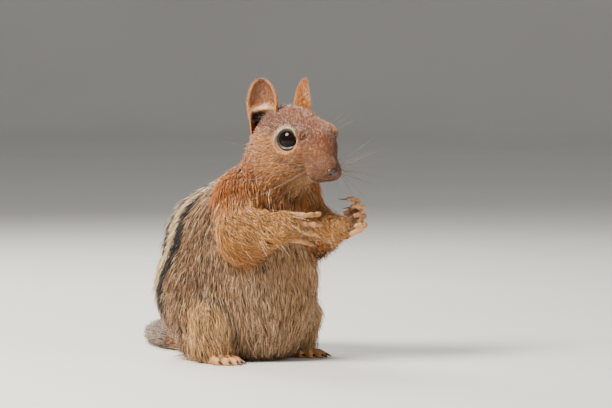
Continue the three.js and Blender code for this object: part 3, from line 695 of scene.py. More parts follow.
def markings(p):
    """The colour of the hair that grows at a place, with painted shade in the haunch crease, on the
    chest, under the muzzle and under the forearms, and how grizzled it is.
    """
    q = to_head(p)
    x, y, z = q.T
    angle = back_angle(p) + 2.0 * ripple(p, 15, 5)
    colour = np.broadcast_to(FLANK, p.shape).copy()
    grizzle = np.full(len(p), 0.75)

    def add(paint, share, hair=None):
        nonlocal colour, grizzle
        colour = colour + (paint - colour) * share[:, None]
        if hair is not None:
            grizzle = grizzle + (hair - grizzle) * share

    add(BACK, 1 - step(angle, 36, 50), 0.9)
    add(BELLY, step(angle, 112, 138), 0.25)
    lengthwise = step(p[:, 2], 16, 34) * (1 - step(p[:, 2], 88, 95))
    inward = 12 * (1 - step(p[:, 2], 26, 62))
    for middle, half, paint in STRIPES:
        add(paint, band(angle + inward, middle, half) * lengthwise, 0.05)
    for side in SIDES:
        add(KNEE_TAN, 1 - step(np.linalg.norm(p - mirrored(KNEE, side), axis=1), 10, 20), 0.35)
    # Painted shade along the crease where each haunch meets the trunk, low and towards the front
    crease_shade = nearest(lambda p, side: np.abs(haunch(p, side) - trunk(p)), p)
    crease_shade = 0.75 * (1 - step(crease_shade, 0.5, 4)) * (1 - step(p[:, 2], 28, 42)) * step(-p[:, 1], 2, 10)
    add(SHADE_AND_DARK_HAIR, crease_shade, 0.8)
    arm = nearest(forearm, p)
    mantle = mantle_share(p)
    add(MANTLE, mantle, 0.2)
    add(CHEEK, 0.55 * mantle * step(-p[:, 1], 20, 32))
    add(ARM, (1 - step(arm, -1, 13)) * 0.85 * mantle)
    # Painted shade: the lower part of each forearm takes the darker mantle colour
    add(MANTLE, 0.75 * (1 - step(arm, -1, 6)) * (1 - step(p[:, 2], 50, 62)))
    # Painted shadow on the chest between the arms, below the head
    chest_shadow = step(-p[:, 1], 33, 42) * band(p[:, 2], 75, 12, 8) * step(arm, 2, 7)
    add(SHADE_AND_DARK_HAIR, 0.6 * chest_shadow, 0.5)
    add(CHIN, step(-p[:, 1], 34, 44) * step(-np.abs(p[:, 0]), -15, -6) * (1 - near_head(p)) * 0.3)

    on_head = near_head(p)
    add(CHEEK, on_head, 0.3)
    add(RUSSET, on_head * step(z - 0.12 * x, -1.5, 4.5), 0.25)
    add(RUSSET, on_head * step(x, 5, 11) * step(z, -8, -3) * 0.7)
    add(RUSSET, on_head * band(z, 5.5, 3.5, 3) * band(x, 1, 9, 5), 0.7)
    add(MUZZLE, on_head * step(x, 14, 20) * 0.8, 0.2)
    # Painted shade under the muzzle, where mouth and chin lie
    add(SHADE_AND_DARK_HAIR, on_head * 0.6 * step(x, 12, 17) * step(-z, 7.5, 10.5), 0.2)
    add(CHIN, on_head * step(-z, 12, 15) * (1 - step(x, 12, 18)) * (1 - step(np.abs(y), 4, 8)), 0.2)
    for side in SIDES:
        wide, reach, facing = round_eye(q, side)
        above = 0.6 + 0.4 * np.clip((wide[:, 2] - 0.6 * wide[:, 0]) / 5, -1, 1)
        add(CREAM, (1 - step(reach + 0.4 * ripple(p, 4, 8), 5.4, 7.2)) * above * facing, 0.15)
        streak = np.exp(-(((wide[:, 2] + 8.6) / 1.2) ** 2)) * step(wide[:, 0], -3, 3) * facing
        add(SHADE_AND_DARK_HAIR, 0.55 * streak * (1 - step(reach, 10, 15)), 0.8)
    return colour, grizzle


# %% [markdown]
# ## Skin piece
# Most of the skin never shows: it is the ground between the tufts, painted darker than the markings
# as the shade between them. It carries the markings too, so that a thin place in the coat isn't seen,
# and a bump drawn out downwards like flattened hair.


# %% Skin
def shaded_skin_paint(start):
    grain = start.noise(900, 3, (1, 1, 0.25))
    # Painted shade: the markings at 0.35 to 0.85 of their brightness, by noise, as the ground between
    # tufts lies in shade
    tone = grain * 0.5 + 0.35
    return {"Base Color": start.markings().scaled(tone), "Normal": grain.bump(0.6, 0.4)}


def with_alpha(colour, alpha=0.0):
    """Colours as an attribute keeps them: red, green and blue, and the way along a hair."""
    alpha = np.broadcast_to(np.asarray(alpha, float), colour.shape[:-1])
    return np.concatenate([colour, alpha[..., None]], axis=-1)


PAIRED = ["thigh", "lower_leg", "upper_arm", "forearm"]
SKIN_NODES = ["torso", "neck", "head"] + [f"{part}_{side}" for part in PAIRED for side in SIDES]
skin_finish = finish("coat_ground", shaded_skin_paint, Roughness=0.8)
skin_colour, _ = markings(skin_shape[0])
piece("skin", skin_shape, skin_finish, SKIN_NODES, with_alpha(skin_colour))

# %% [markdown]
# ## The lie of the coat
# Hair points away from the nose: back over the head, down the neck, down the back and flanks, and
# along each arm to its wrist. Round the eye it turns outwards. A slow ripple bends neighbouring
# tufts the same way, which gathers them into the loose locks that fur falls into.


# %% Lie
def lie(p):
    """The way that hair points at a place: shares of the ways on head, neck, trunk, arms and legs."""
    q = to_head(p)
    x, y, z = q.T
    way = np.stack([0 * x, 0.45 * step(p[:, 1], -12, 12) - 0.12, np.full(len(p), -1.0)], axis=1)

    def turn(towards, share):
        nonlocal way
        way = unit(way + (towards - way) * share[:, None])

    for side in SIDES:
        shin = np.linalg.norm(p - mirrored(KNEE, side), axis=1)
        turn(unit(np.array([0.15 * SIDES[side], -0.5, -0.8])), 0.7 * (1 - step(shin, 8, 20)))
        upper = unit(mirrored(ELBOW, side) - mirrored(SHOULDER, side))
        turn(upper, (1 - step(upper_arm(p, side), 0, 8)) * 0.8)
        lower = unit(np.array(HANDS[side]["wrist"]) - mirrored(ELBOW, side))
        turn(unit(lower + [0, 0, -0.75]), 1 - step(forearm(p, side), 0, 7))

    on_head = near_head(p)
    away = np.stack([np.full(len(p), -1.0), 0.1 * np.sign(y), -0.25 * step(-z, -3, 6)], axis=1)
    for side in SIDES:
        wide, reach, facing = round_eye(q, side)
        away += 2.6 * unit(wide) * (np.exp(-((reach / 8.5) ** 4)) * facing)[:, None]
    turn(unit(away) @ HEAD_AXES, on_head)
    wander = np.stack([ripple(p, 7, 20 + axis) for axis in range(3)], axis=1)
    return unit(way + wander * (0.22 - 0.1 * on_head)[:, None])


# %% [markdown]
# ## Tufts
# A tuft is a thin spike of three sides that leaves the skin, rises, and bends over to lie along it:
# seven points and ten triangles. All tufts of a piece are made at once as arrays. Roots are strewn
# on the skin's own triangles. Each tuft has a small patch on the map OFBake, at its root's place on
# an unwrap of the skin round the axis of that part of the body.

# %% Tuft
ALONG = np.array([0, 0, 0, 0.5, 0.5, 0.5, 1])
ACROSS = np.array([0, 1, 0.5, 0, 1, 0.5, 0.5])
TUFT = np.array(
    [[0, 1, 2], [0, 3, 4], [0, 4, 1], [1, 4, 5], [1, 5, 2]]
    + [[2, 5, 3], [2, 3, 0], [3, 6, 4], [4, 6, 5], [5, 6, 3]]
)
PATCH = 0.003  # the width of a tuft's patch on its map
MOST_TUFTS = 19900  # in one piece
LOWEST = 0.15  # no point of a tuft is lower in the frame that its root is given in


def scatter(points, faces, density):
    """Places strewn on a mesh, with density(p) of them to a square millimetre."""
    a, b, c = (points[corner] for corner in triangles(faces).T)
    area = np.linalg.norm(np.cross(b - a, c - a), axis=1) / 2
    chosen = np.repeat(np.arange(len(a)), rng.poisson(area * density((a + b + c) / 3)))
    u, v = rng.random((2, len(chosen)))
    fold = u + v > 1
    u[fold], v[fold] = 1 - u[fold], 1 - v[fold]
    return a[chosen] + u[:, None] * (b - a)[chosen] + v[:, None] * (c - a)[chosen]


def tufts(roots, normal, way, length, width, lift):
    """Points of each tuft. Its middle lies at length / 2 and its tip at length from the root, turned up
    from the skin by 1.25 and by 0.7 times lift. Its section is a triangle, and narrows along it. A
    point under LOWEST is raised to it. That keeps the coat off the floor, but round the eyes and on
    the ears the roots are in the head's frame, and there it presses the lower tufts flat."""
    along = unit(way - (way * normal).sum(axis=1)[:, None] * normal)
    beside = np.cross(normal, along)

    def reach(share, rise):
        way_out = np.cos(rise)[:, None] * along + np.sin(rise)[:, None] * normal
        return roots + (share * length)[:, None] * way_out

    section = np.stack([0.5 * beside, -0.5 * beside, 0.55 * normal], axis=1) * width[:, None, None]
    root = (roots - 0.3 * normal)[:, None] + section
    middle = reach(0.5, 1.25 * lift)[:, None] + 0.8 * section
    tip = reach(1.0, 0.7 * lift)[:, None]
    made = np.concatenate([root, middle, tip], axis=1)
    made[..., 2] = np.maximum(made[..., 2], LOWEST)
    return made


def unwrap(p, centre, axis):
    """Each place as its angle round an axis and its way along it, stretched to fill the unit square."""
    axis = unit(np.array(axis, float))
    offset = p - centre
    level = offset - (offset @ axis)[:, None] * axis
    first = unit(level.mean(axis=0))
    second = np.cross(axis, first)
    flat = np.stack([np.arctan2(level @ second, level @ first), offset @ axis], axis=1)
    low, high = flat.min(axis=0), flat.max(axis=0)
    return PATCH + (1 - 2 * PATCH) * (flat - low) / (high - low)


def speckled(colour, grizzle):
    """Hair by hair: some are pale, some dark, in proportion to grizzle, and all differ a little."""
    draw = rng.random(len(colour))[:, None]
    pale = draw < 0.34 * grizzle[:, None]
    dark = draw > 1 - 0.30 * grizzle[:, None]
    made = np.where(pale, colour + (CREAM - colour) * 0.6, colour)
    made = np.where(dark, colour * 0.28, made)
    return made * rng.uniform(0.66, 1.22, (len(colour), 1))


def strayed(way, share, count):
    """The way of each of count hairs, turned a little at random."""
    return unit(way + share * rng.normal(size=(count, 3)))


def coat_piece(name, points, colour, material, around, replaces=()):
    """Tufts as one mesh with their markings and their patches on OFBake."""
    count = len(points)
    assert count <= MOST_TUFTS, (name, count)
    faces = (TUFT[None] + 7 * np.arange(count)[:, None, None]).reshape(-1, 3)
    hair = with_alpha(np.repeat(colour[:, None], 7, axis=1), np.broadcast_to(ALONG, (count, 7)))
    made = piece(name, (points.reshape(-1, 3), faces), material, replaces, hair.reshape(-1, 4))
    centre, axis = around
    corner = np.stack([ACROSS, ALONG], axis=1) - 0.5
    places = unwrap(points[:, :3].mean(axis=1), centre, axis)[:, None] + PATCH * corner
    layer = made.data.uv_layers.new(name="OFBake")
    layer.data.foreach_set("uv", places.reshape(-1, 2)[faces.ravel()].astype(np.float32).ravel())
    return made


# %% Hair finish
def hair_paint_shaded(start):
    """Each hair is painted dark at its root, as the shade deep in the coat, and pale at its tip, over
    the colour that it carries.
    """
    along = start.markings("Alpha")
    # Painted shade: 0.22 of the colour at the root, rising to 1.14 at the tip; the noise is a random
    # tone
    tone = (along * 0.92 + 0.22) * (start.noise(260, 2) * 0.5 + 0.75)
    return {"Base Color": start.markings().scaled(tone), "Roughness": start.noise(500, 1) * 0.2 + 0.45}


hair_finish = finish("hair", hair_paint_shaded, Specular_IOR_Level=0.35, Sheen_Weight=0.15)


def short_coat(name, roots, normal, way, sizes, hair, around, carry=np.asarray):
    """Short tufts as a piece. sizes are the least and greatest length, the width, and the least and
    greatest lift. hair is colour and grizzle, and carry takes the points to the body's own frame."""
    count = len(roots)
    shortest, longest, width, low, high = sizes
    length = rng.uniform(shortest, longest, count)
    made = tufts(roots, normal, way, length, np.full(count, width), rng.uniform(low, high, count))
    return coat_piece(name, carry(made), speckled(*hair), hair_finish, around)


# %% Sizes of hair over the body
def hair_sizes(p):
    """Length, width, lift and number to a square millimetre of the tufts at a place."""
    q = to_head(p)
    x = q[:, 0]
    on_head = near_head(p)
    on_arm = 1 - step(nearest(forearm, p), 0, 5)
    on_shoulder = 1 - step(nearest(upper_arm, p), 0, 6)
    wrist = nearest(lambda p, side: np.linalg.norm(p - HANDS[side]["wrist"], axis=1), p)
    low = 1 - step(p[:, 2], 10, 40)

    def beside_eye(q, side):
        _, reach, facing = round_eye(q, side)
        return reach + 20 * (1 - facing)

    def over(body, fore, face):
        value = body + (fore - body) * on_arm
        return value + (face - value) * on_head

    length = over(8.4 + 1.6 * low - 1.2 * on_shoulder, np.interp(wrist, [4, 16], [3.0, 7.6]),
                  np.interp(x, [-26, -12, 2, 12, 20], [6.0, 3.6, 2.6, 1.7, 1.0]))
    width = over(0.44 + 0.06 * low, 0.36, np.interp(x, [-24, -8, 6, 18], [0.36, 0.27, 0.22, 0.16]))
    lift = over(0.24 + 0.06 * low, 0.30, np.interp(x, [-24, 0, 18], [0.26, 0.28, 0.34]))
    density = over(2.7, 3.6, np.interp(x, [-24, -8, 6, 18], [4.6, 8.0, 12.0, 17.0]))
    near_eye = 1 - step(nearest(beside_eye, q), 6, 10)
    return length * (1 - 0.5 * near_eye), width, lift, density


# %% Roots
BARE_SOLE = 0.6  # no hair is rooted lower than this
BARE_EYE = 5.6  # nor this near an eye's axis, in front of it
BARE_SOCKET = EYE_RADIUS + 0.6  # nor this near its middle
roots = scatter(*skin_shape, lambda p: hair_sizes(p)[3])
_, slope = slope_of(ground, roots)
normals = unit(slope)
kept = roots[:, 2] > BARE_SOLE
for side in SIDES:
    _, reach, facing = round_eye(to_head(roots), side)
    in_socket = np.linalg.norm(to_head(roots) - EYE_AT[side], axis=1) < BARE_SOCKET
    kept &= ~in_socket & ~((reach < BARE_EYE) & (facing > 0.5))
roots, normals = roots[kept], normals[kept]
length, width, lift, _ = hair_sizes(roots)
count = len(roots)
length = length * rng.uniform(0.7, 1.15, count)
underneath = np.maximum(-normals[:, 2], 0) * (1 - near_head(roots))
length = length * (1 + 0.3 * underneath)
lift = lift * rng.uniform(0.5, 1.5, count) * np.where(rng.random(count) < 0.07, 2.0, 1.0)
lift = lift + 0.05 * ripple(roots, 5, 9) + 0.25 * underneath
width = width * rng.uniform(0.8, 1.2, count)
way = strayed(lie(roots), 0.10, count)
hair_colour = speckled(*markings(roots))
hair_points = tufts(roots, normals, way, length, width, lift)
print("tufts on the body:", count)

# %% [markdown]
# ## Coat by region
# A piece may hold just under 20000 tufts, so the coat is divided where a furrier would cut it: face,
# crown and cheeks, neck, arms, back, flanks, belly and legs. Every tuft goes to one region.

# %% Regions
root_head = to_head(roots)
root_angle = back_angle(roots)
on_head = near_head(roots) > 0.5
on_top = on_head & (root_head[:, 2] > 1.5)
on_arm = np.minimum(nearest(forearm, roots), nearest(upper_arm, roots) + 1) < 0.8
on_leg = (roots[:, 2] < 30) & (np.abs(roots[:, 0]) > 13) & (root_angle > 60)
anywhere = np.full(count, True)
TRUNK_AXIS = ((0.5, -1, 0), (0, 0, 1))
HEAD_AXIS = (from_head([-4, 0, -5]), head_forward)


def arm_axis(side):
    return mirrored(ELBOW, side), HANDS[side]["wrist"] - mirrored(ELBOW, side)


def leg_axis(side):
    return mirrored((18, -6, 0), side), (0, 0, 1)


def both_sides(name, share, axis_of, slot):
    """A region of the right side and one of the left."""
    of_side = {"right": roots[:, 0] < 0, "left": roots[:, 0] >= 0}
    return [(f"{name}_{side}", share & of_side[side], axis_of(side), slot) for side in SIDES]


REGIONS = [
    ("face", on_head & (root_head[:, 0] > 9), HEAD_AXIS, "mantle_fur"),
    ("brow", on_top & (root_head[:, 0] > -6), HEAD_AXIS, "mantle_fur"),
    ("crown", on_top, HEAD_AXIS, "mantle_fur"),
    *both_sides("cheek", on_head, lambda side: HEAD_AXIS, "mantle_fur"),
    *both_sides("arm", on_arm, arm_axis, "mantle_fur"),
    ("neck", roots[:, 2] > 80, (NECK_BASE, (0, -0.4, 0.9)), "mantle_fur"),
    *both_sides("leg", on_leg, leg_axis, "leg_fur"),
    ("back", root_angle < 50, TRUNK_AXIS, "back_fur"),
    ("belly", root_angle > 128, TRUNK_AXIS, "back_fur"),
    *both_sides("flank", anywhere, lambda side: TRUNK_AXIS, "back_fur"),
]
left_over = anywhere.copy()
for region, share, around, slot in REGIONS:
    mine = share & left_over
    left_over &= ~mine
    coat_piece(f"coat_{region}", hair_points[mine], hair_colour[mine], hair_finish, around)
print("tufts in no region:", int(left_over.sum()))

# %% [markdown]
# ## Eyes and lids
# The eye is a large dark ball that stands out of the head, all pupil to look at, with a wet surface.
# The lids are one surface of two parameters: round the opening, and from its dark moist edge, which
# touches the ball, over the edge and down the ball's side into the fur. The opening is an almond
# with its point at the front corner.

# %% Eye
EYE_FRONT = {side: square_to(np.array([1, 0, -0.05]), EYE_OUT[side]) for side in SIDES}
EYE_UP = {side: square_to(np.array([0, 0, 1]), EYE_OUT[side], EYE_FRONT[side]) for side in SIDES}


def globe(rings, columns):
    """Unit vectors on a sphere: (sin a cos b, sin a sin b, cos a), with a from pole to pole."""
    a = np.linspace(0.02, np.pi - 0.02, rings)[:, None]
    b = np.linspace(0, 2 * np.pi, columns, endpoint=False)[None, :]
    return np.stack([np.sin(a) * np.cos(b), np.sin(a) * np.sin(b), np.cos(a) + 0 * b], axis=-1)


def eye_paint(start):
    depth = start.noise(300, 2)
    colour = depth.colours(srgb(8, 6, 5), srgb(28, 17, 12))
    return {"Base Color": colour, "Roughness": depth * 0.03 + 0.03}


eye_finish = finish("wet_eye", eye_paint, Specular_IOR_Level=0.12)
for side in SIDES:
    ball = EYE_AT[side] + EYE_RADIUS * globe(48, 64)
    points, faces = capped(ball)
    shape = from_head(points), outward(points, faces)
    piece(f"eyeball_{side}", shape, eye_finish, [f"eye_{side}"])

# %% Lids
OPENING = 0.88  # the least reach of the opening, as a share of the eye's radius
TILT = 0.12  # how far the opening is turned up
LID_PROFILE = np.array([[-0.10, 6.15], [-0.06, 6.5], [-0.02, 6.95], [0.04, 7.15], [0.12, 7.15],
                        [0.25, 6.98], [0.5, 6.75], [0.8, 6.5], [1.0, 5.9]])


def lid_surface(side, columns=72):
    """A point lies from the eye's middle at radius r, turned from the opening's edge away by a share w
    of the way to the ball's side. w and r run along LID_PROFILE, and the edge runs round the almond."""
    b = np.linspace(0, 2 * np.pi, columns, endpoint=False)
    ahead = np.maximum(np.cos(b), 0)
    forward = np.cos(b) * np.where(np.cos(b) > 0, 1.12 + 0.38 * ahead**6, 1.05) * OPENING
    rise = np.sin(b) * (1 - 0.18 * ahead) * OPENING
    out, front, up = EYE_OUT[side], EYE_FRONT[side], EYE_UP[side]
    edge = unit(out + (forward + 0.05)[:, None] * front + (rise + TILT)[:, None] * up)
    side_way = unit(0.12 * out + forward[:, None] * front + rise[:, None] * up)
    w, r = smooth_path(LID_PROFILE, 26).T
    ways = unit(edge + w[:, None, None] * (side_way - edge))
    return EYE_AT[side] + r[:, None, None] * ways, w


def lid_paint(start):
    grain = start.noise(1500, 2)
    colour = start.markings().scaled(grain * 0.5 + 0.7)
    return {"Base Color": colour, "Roughness": 0.3 + grain * 0.3, "Normal": grain.bump(0.4, 0.15)}


RIM = srgb(26, 17, 14)
lid_finish = finish("lid_skin", lid_paint)
for side in SIDES:
    surface, w = lid_surface(side)
    shown = surface.reshape(-1, 3)
    faces = outward(shown - EYE_AT[side], grid_faces(*surface.shape[:2]))
    furred = step(w, 0.14, 0.30)[:, None, None]
    colour = RIM + (CREAM * 0.8 - RIM) * np.broadcast_to(furred, (*surface.shape[:2], 1))
    colour = with_alpha(colour.reshape(-1, 3))
    piece(f"lids_{side}", (from_head(shown), faces), lid_finish, (), colour)

    ring = surface[w > 0.2]
    places = scatter(ring.reshape(-1, 3), grid_faces(*ring.shape[:2]), lambda p: 14.0)
    offset, _, radial = from_eye(places, side)
    short_coat(
        f"coat_eye_{side}", places, unit(offset), unit(unit(radial) - [0.5, 0, 0.1]),
        (1.2, 2.2, 0.2, 0.1, 0.35), markings(from_head(places)),
        (from_head(EYE_AT[side]), EYE_OUT[side] @ HEAD_AXES), from_head,
    )

# %% [markdown]
# ## Nose and mouth
# The nose pad is a small ball, flattened below, with a dent for each nostril and a groove down its
# middle. The mouth is closed: one dark line follows the jaw under the muzzle, and a cleft runs from
# it up to the nose.

# %% Nose
NOSE_AT, NOSE_RADII = np.array([22.3, 0, -5.4]), np.array([2.6, 3.1, 2.5])


def nose_surface():
    """A ball of NOSE_RADII whose radius falls by 0.5 exp(-d^2) at each nostril and by a thin groove
    0.12 exp(-(y / 0.1)^2) in front."""
    way = globe(56, 72)
    dent = np.zeros(way.shape[:2])
    for s in SIDES.values():
        nostril = unit(np.array([0.72, 0.62 * s, -0.30]))
        offset = (way - nostril) / np.array([0.3, 0.17, 0.22])
        dent = np.maximum(dent, 0.5 * np.exp(-np.sum(offset**2, axis=-1)))
    groove = 0.12 * np.exp(-((way[..., 1] / 0.1) ** 2))
    groove = groove * step(way[..., 0], 0, 0.6) * step(-way[..., 2], -0.3, 0.3)
    return NOSE_AT + way * NOSE_RADII * (1 - dent - groove)[..., None]


def nose_paint(start):
    place = start.node("TexCoord", output="Object")
    pores = start.node("TexVoronoi", {}, {"Vector": place, "Scale": 2600.0}, "Distance")
    colour = start.noise(700).colours(srgb(36, 22, 17), srgb(74, 47, 38))
    return {"Base Color": colour, "Roughness": pores * 0.25 + 0.28, "Normal": pores.bump(0.5, 0.12)}


nose_finish = finish("nose_leather", nose_paint, Coat_Weight=0.2)
points, faces = capped(nose_surface())
piece("nose_pad", (from_head(points), faces), nose_finish, ["nose"])

# %% Lips
MOUTH_CORNER, MOUTH_FRONT = np.array([10.5, 6.3, -12.2]), np.array([20.6, 0, -9.6])


def lip_line(count=40):
    """A half ellipse from corner to corner: x and z go by cos a, and y by sin a."""
    a = np.linspace(-np.pi / 2, np.pi / 2, count)
    reach = np.cos(a)
    x = MOUTH_CORNER[0] + (MOUTH_FRONT[0] - MOUTH_CORNER[0]) * reach
    z = MOUTH_CORNER[2] + (MOUTH_FRONT[2] - MOUTH_CORNER[2]) * reach
    return np.stack([x, MOUTH_CORNER[1] * np.sin(a), z], axis=1)


def onto_head(q, sink):
    """Places walked along the slope onto the skin of the head, then in by sink."""
    q = np.array(q, float)
    for _ in range(6):
        here, slope = slope_of(ground, from_head(q))
        steep = np.maximum((slope**2).sum(axis=1), 0.2)[:, None]
        q -= ((here + sink)[:, None] * slope) @ HEAD_AXES.T / steep
    return q


lips = onto_head(lip_line(), -0.35)
taper = 0.55 * bead(len(lips), 1.02, 0.05)
cleft = onto_head(np.array([NOSE_AT + [1.2, 0, -2.0], NOSE_AT + [0.2, 0, -3.2], MOUTH_FRONT]), 0.1)
points, faces = joined([
    tube(lips, taper, [0, 0, 1], 8),
    tube(smooth_path(cleft, 10), 0.32, [0, 1, 0], 8),
])
piece("lips", (from_head(points), faces), nose_finish)

# %% [markdown]
# ## Ears
# An ear is a wall bent into a cup: a tube at its root, open towards its round tip. Round the ring of
# a section runs one parameter, from root to tip the other. The inner side has a pale fold across it,
# a deep hollow below the fold, painted near black as shade, and a bare brown field above it.

# %% Ear
EAR_WIDTH, EAR_WALL = 15.5, 1.2
EAR_ROWS, EAR_COLUMNS = 60, 64
HIDDEN_ROWS = 6  # the lowest rows, in the fur of the head, which bear no hair of their own


def ear_surface(side):
    """At height t a section is an arc of bend b(t) and half width w(t). The place across it is cos v,
    on its outer side for sin v > 0 and on its inner side for sin v < 0, so the edge is round."""
    s = SIDES[side]
    root, tip = np.array([-21.5, 9.8 * s, -8]), np.array([-29.4, 13 * s, 19.3])
    axis = unit(tip - root)
    out = square_to(np.array([0.5, 0.85 * s, 0.15]), axis)
    front = square_to(np.array([1.0, 0, 0]), axis, out)
    t = np.linspace(0, 0.985, EAR_ROWS)[:, None]
    v = np.linspace(0, 2 * np.pi, EAR_COLUMNS, endpoint=False)[None, :]
    low = 0.62 + 0.38 * np.minimum(t / 0.6, 1)
    high = np.sqrt(np.maximum(1 - (np.maximum(t - 0.6, 0) / 0.405) ** 2, 0))
    wide = EAR_WIDTH / 2 * np.minimum(low, high)
    bend = np.radians(118 + (62 - 118) * t)
    curve = wide / np.sin(np.minimum(bend, np.pi / 2))
    inner = step(-np.sin(v), 0, 0.25) + 0 * t
    wall = EAR_WALL * (1 - 0.4 * t)
    across = np.cos(v)
    fold = 1.5 * np.exp(-(((t - 0.52 - 0.05 * across) / 0.055) ** 2)) * (1 - across**2) * inner
    radius = curve - wall / 2 * (1 - np.sign(np.sin(v)) * np.abs(np.sin(v)) ** 0.6) - fold
    turn = across * bend
    middle = root + t[..., None] * (tip - root) + 1.2 * np.sin(np.pi * t)[..., None] * front
    surface = (
        middle
        + (radius * np.sin(turn))[..., None] * front
        + (0.5 * curve - radius * np.cos(turn))[..., None] * out
    )
    return surface, inner, t + 0 * v, np.abs(across) + 0 * t


def ear_colour(inner, t, edge):
    """Coppery outside, pale along the rim. Inside: brown field, pale fold, and painted shade in the
    hollow.
    """
    field = srgb(138, 88, 56)
    # Painted shade: the hollow below the fold, low on the inner side and near its middle, turns near
    # black
    hollow_shade = (1 - step(t, 0.42, 0.47)) * (1 - step(edge, 2 * t + 0.05, 2 * t + 0.25))
    colour = np.broadcast_to(MANTLE, (*t.shape, 3)).copy()
    for paint, share in [
        (field, inner * step(t, 0.50, 0.62)),
        (CREAM, 0.6 * inner * band(t + 0.05 * edge, 0.52, 0.04, 0.06)),
        (RUSSET, inner * (1 - step(t, 0.40, 0.47))),
        (srgb(20, 12, 9), inner * hollow_shade),
        (srgb(228, 160, 96), step(edge, 0.86, 0.97) * step(t, 0.1, 0.3) * 0.85),
    ]:
        colour += (paint - colour) * share[..., None]
    return colour


ear_finish = finish("ear_skin", lid_paint)
for side in SIDES:
    surface, inner, t, edge = ear_surface(side)
    colour = ear_colour(inner, t, edge).reshape(-1, 3)
    points, faces = capped(surface)
    cup, cup_colour = (from_head(points), faces), with_alpha(np.concatenate([colour, colour[[0, -1]]]))
    piece(f"ear_cup_{side}", cup, ear_finish, [f"ear_{side}"], cup_colour)

    shown = surface[HIDDEN_ROWS:].reshape(-1, 3)
    quads = outward(shown, grid_faces(EAR_ROWS - HIDDEN_ROWS, EAR_COLUMNS))
    density = np.where(inner[HIDDEN_ROWS:-1].ravel() > 0.5, 2.5, 9.0)
    a, b, c, d = (shown[corner] for corner in quads.T)
    normal = unit(np.cross(c - a, d - b))
    area = np.linalg.norm(np.cross(c - a, d - b), axis=1) / 2
    chosen = np.repeat(np.arange(len(quads)), rng.poisson(area * density))
    u, v = rng.random((2, len(chosen)))[..., None]
    places = (a[chosen] * (1 - u) + b[chosen] * u) * (1 - v) + (d[chosen] * (1 - u) + c[chosen] * u) * v
    upwards = unit(np.array([-7.9, 3.2 * SIDES[side], 27.3]))
    hair_tint = colour[HIDDEN_ROWS * EAR_COLUMNS :][quads[chosen, 0]] * 1.1
    short_coat(
        f"coat_ear_{side}", places, normal[chosen], strayed(upwards, 0.15, len(places)),
        (1.1, 2.3, 0.17, 0.15, 0.45), (hair_tint, np.full(len(places), 0.25)),
        (from_head(surface.mean(axis=(0, 1))), upwards @ HEAD_AXES), from_head,
    )

# %% [markdown]
# ## Whiskers
# Whiskers grow in four rows on the side of the muzzle, longest at the back, with a few finer ones
# over the eye. Each is a fine tapered tube that sweeps back and sinks towards its tip.


# %% Whiskers
def whisker(root, aim, length, thick):
    """The point at share t is root + length (t aim + t^2 sag), and the radius falls as 1 - 0.85 t."""
    t = np.linspace(0, 1, 12)[:, None]
    path = root + length * (t * aim + t**2 * np.array([-0.20, 0, -0.10]))
    return tube(path, thick * (1 - 0.85 * t[:, 0]), [0, 0, 1], 5)


WHISKER_ROWS, WHISKER_COLUMNS, WHISKER_LENGTH = 4, 4, 27
whisker_finish = finish("stiff_hair", mottled(120, srgb(52, 40, 33), srgb(140, 118, 98)), Roughness=0.35)
for side, s in SIDES.items():
    hairs = []
    for row in range(WHISKER_ROWS):
        for column in range(WHISKER_COLUMNS):
            start = np.array([[18.6 - 1.7 * column, 6.2 * s, -4.6 - 1.05 * row]])
            rise = 0.75 - 0.34 * row - 0.24 * column
            aim = unit(np.array([0.55 - 0.36 * column, 1.0 * s, rise]) + 0.08 * rng.normal(size=3))
            hairs.append(whisker(onto_head(start, 0.4)[0], aim, WHISKER_LENGTH + 4 * column - row, 0.13))
    for i in range(3):
        start = np.array([[1.5 + 2.2 * i, 7.5 * s, 8.5]])
        aim = unit(np.array([0.5 + 0.2 * i, 0.45 * s, 0.9]))
        hairs.append(whisker(onto_head(start, 0.4)[0], aim, 15 + 2 * i, 0.10))
    points, faces = joined(hairs)
    shape = from_head(points), faces
    piece(f"whisker_hairs_{side}", shape, whisker_finish, [f"whiskers_{side}"])

# %% [markdown]
# ## Forepaws
# A finger is a tube through its joints, thick at the knuckles and thin between them, with a pad
# under its tip. The palm is a flat tube, and the thumb a small bulb beside it. The bend of each joint
# is the one in the solids, so a paw stays where its solid is.

# %% Fingers
PALM, FINGER_SPACING, BONES, FINGER_RADIUS = 8.5, 3.9, (5.2, 4.0, 3.0), 1.2


def finger(hand, s, index):
    """Knots and radii of a finger, its tip, the way it ends, and the way its pad faces."""
    along, across = np.array(hand["along"]), np.array(hand["across"])
    inward = unit(np.cross(along, across) * s)
    place = index - 1.5
    reach = 1 - 0.07 * abs(place - 0.5)
    forward = along * (PALM - 0.8 * abs(place - 0.5))
    at = np.array(hand["wrist"]) + forward + across * place * FINGER_SPACING
    knots, radii, turn = [at - 5.5 * along - 0.1 * across * place], [1.1 * FINGER_RADIUS], 0.0
    for i, bone in enumerate(BONES):
        knots.append(at)
        radii.append(FINGER_RADIUS * (1.24 - 0.07 * i))
        turn += np.radians(hand["bends"][i] + 4 * np.sin(3 * index + i))
        aim = unit(along * np.cos(turn) + inward * np.sin(turn) + across * 0.09 * place)
        knots.append(at + aim * bone * reach * 0.5)
        radii.append(FINGER_RADIUS * (0.86 - 0.06 * i))
        at = at + aim * bone * reach
    knots += [at - 0.9 * aim, at - 0.2 * aim, at]
    radii += [FINGER_RADIUS * 0.9, FINGER_RADIUS * 0.72, FINGER_RADIUS * 0.3]
    return np.array(knots), np.array(radii), at, aim, inward


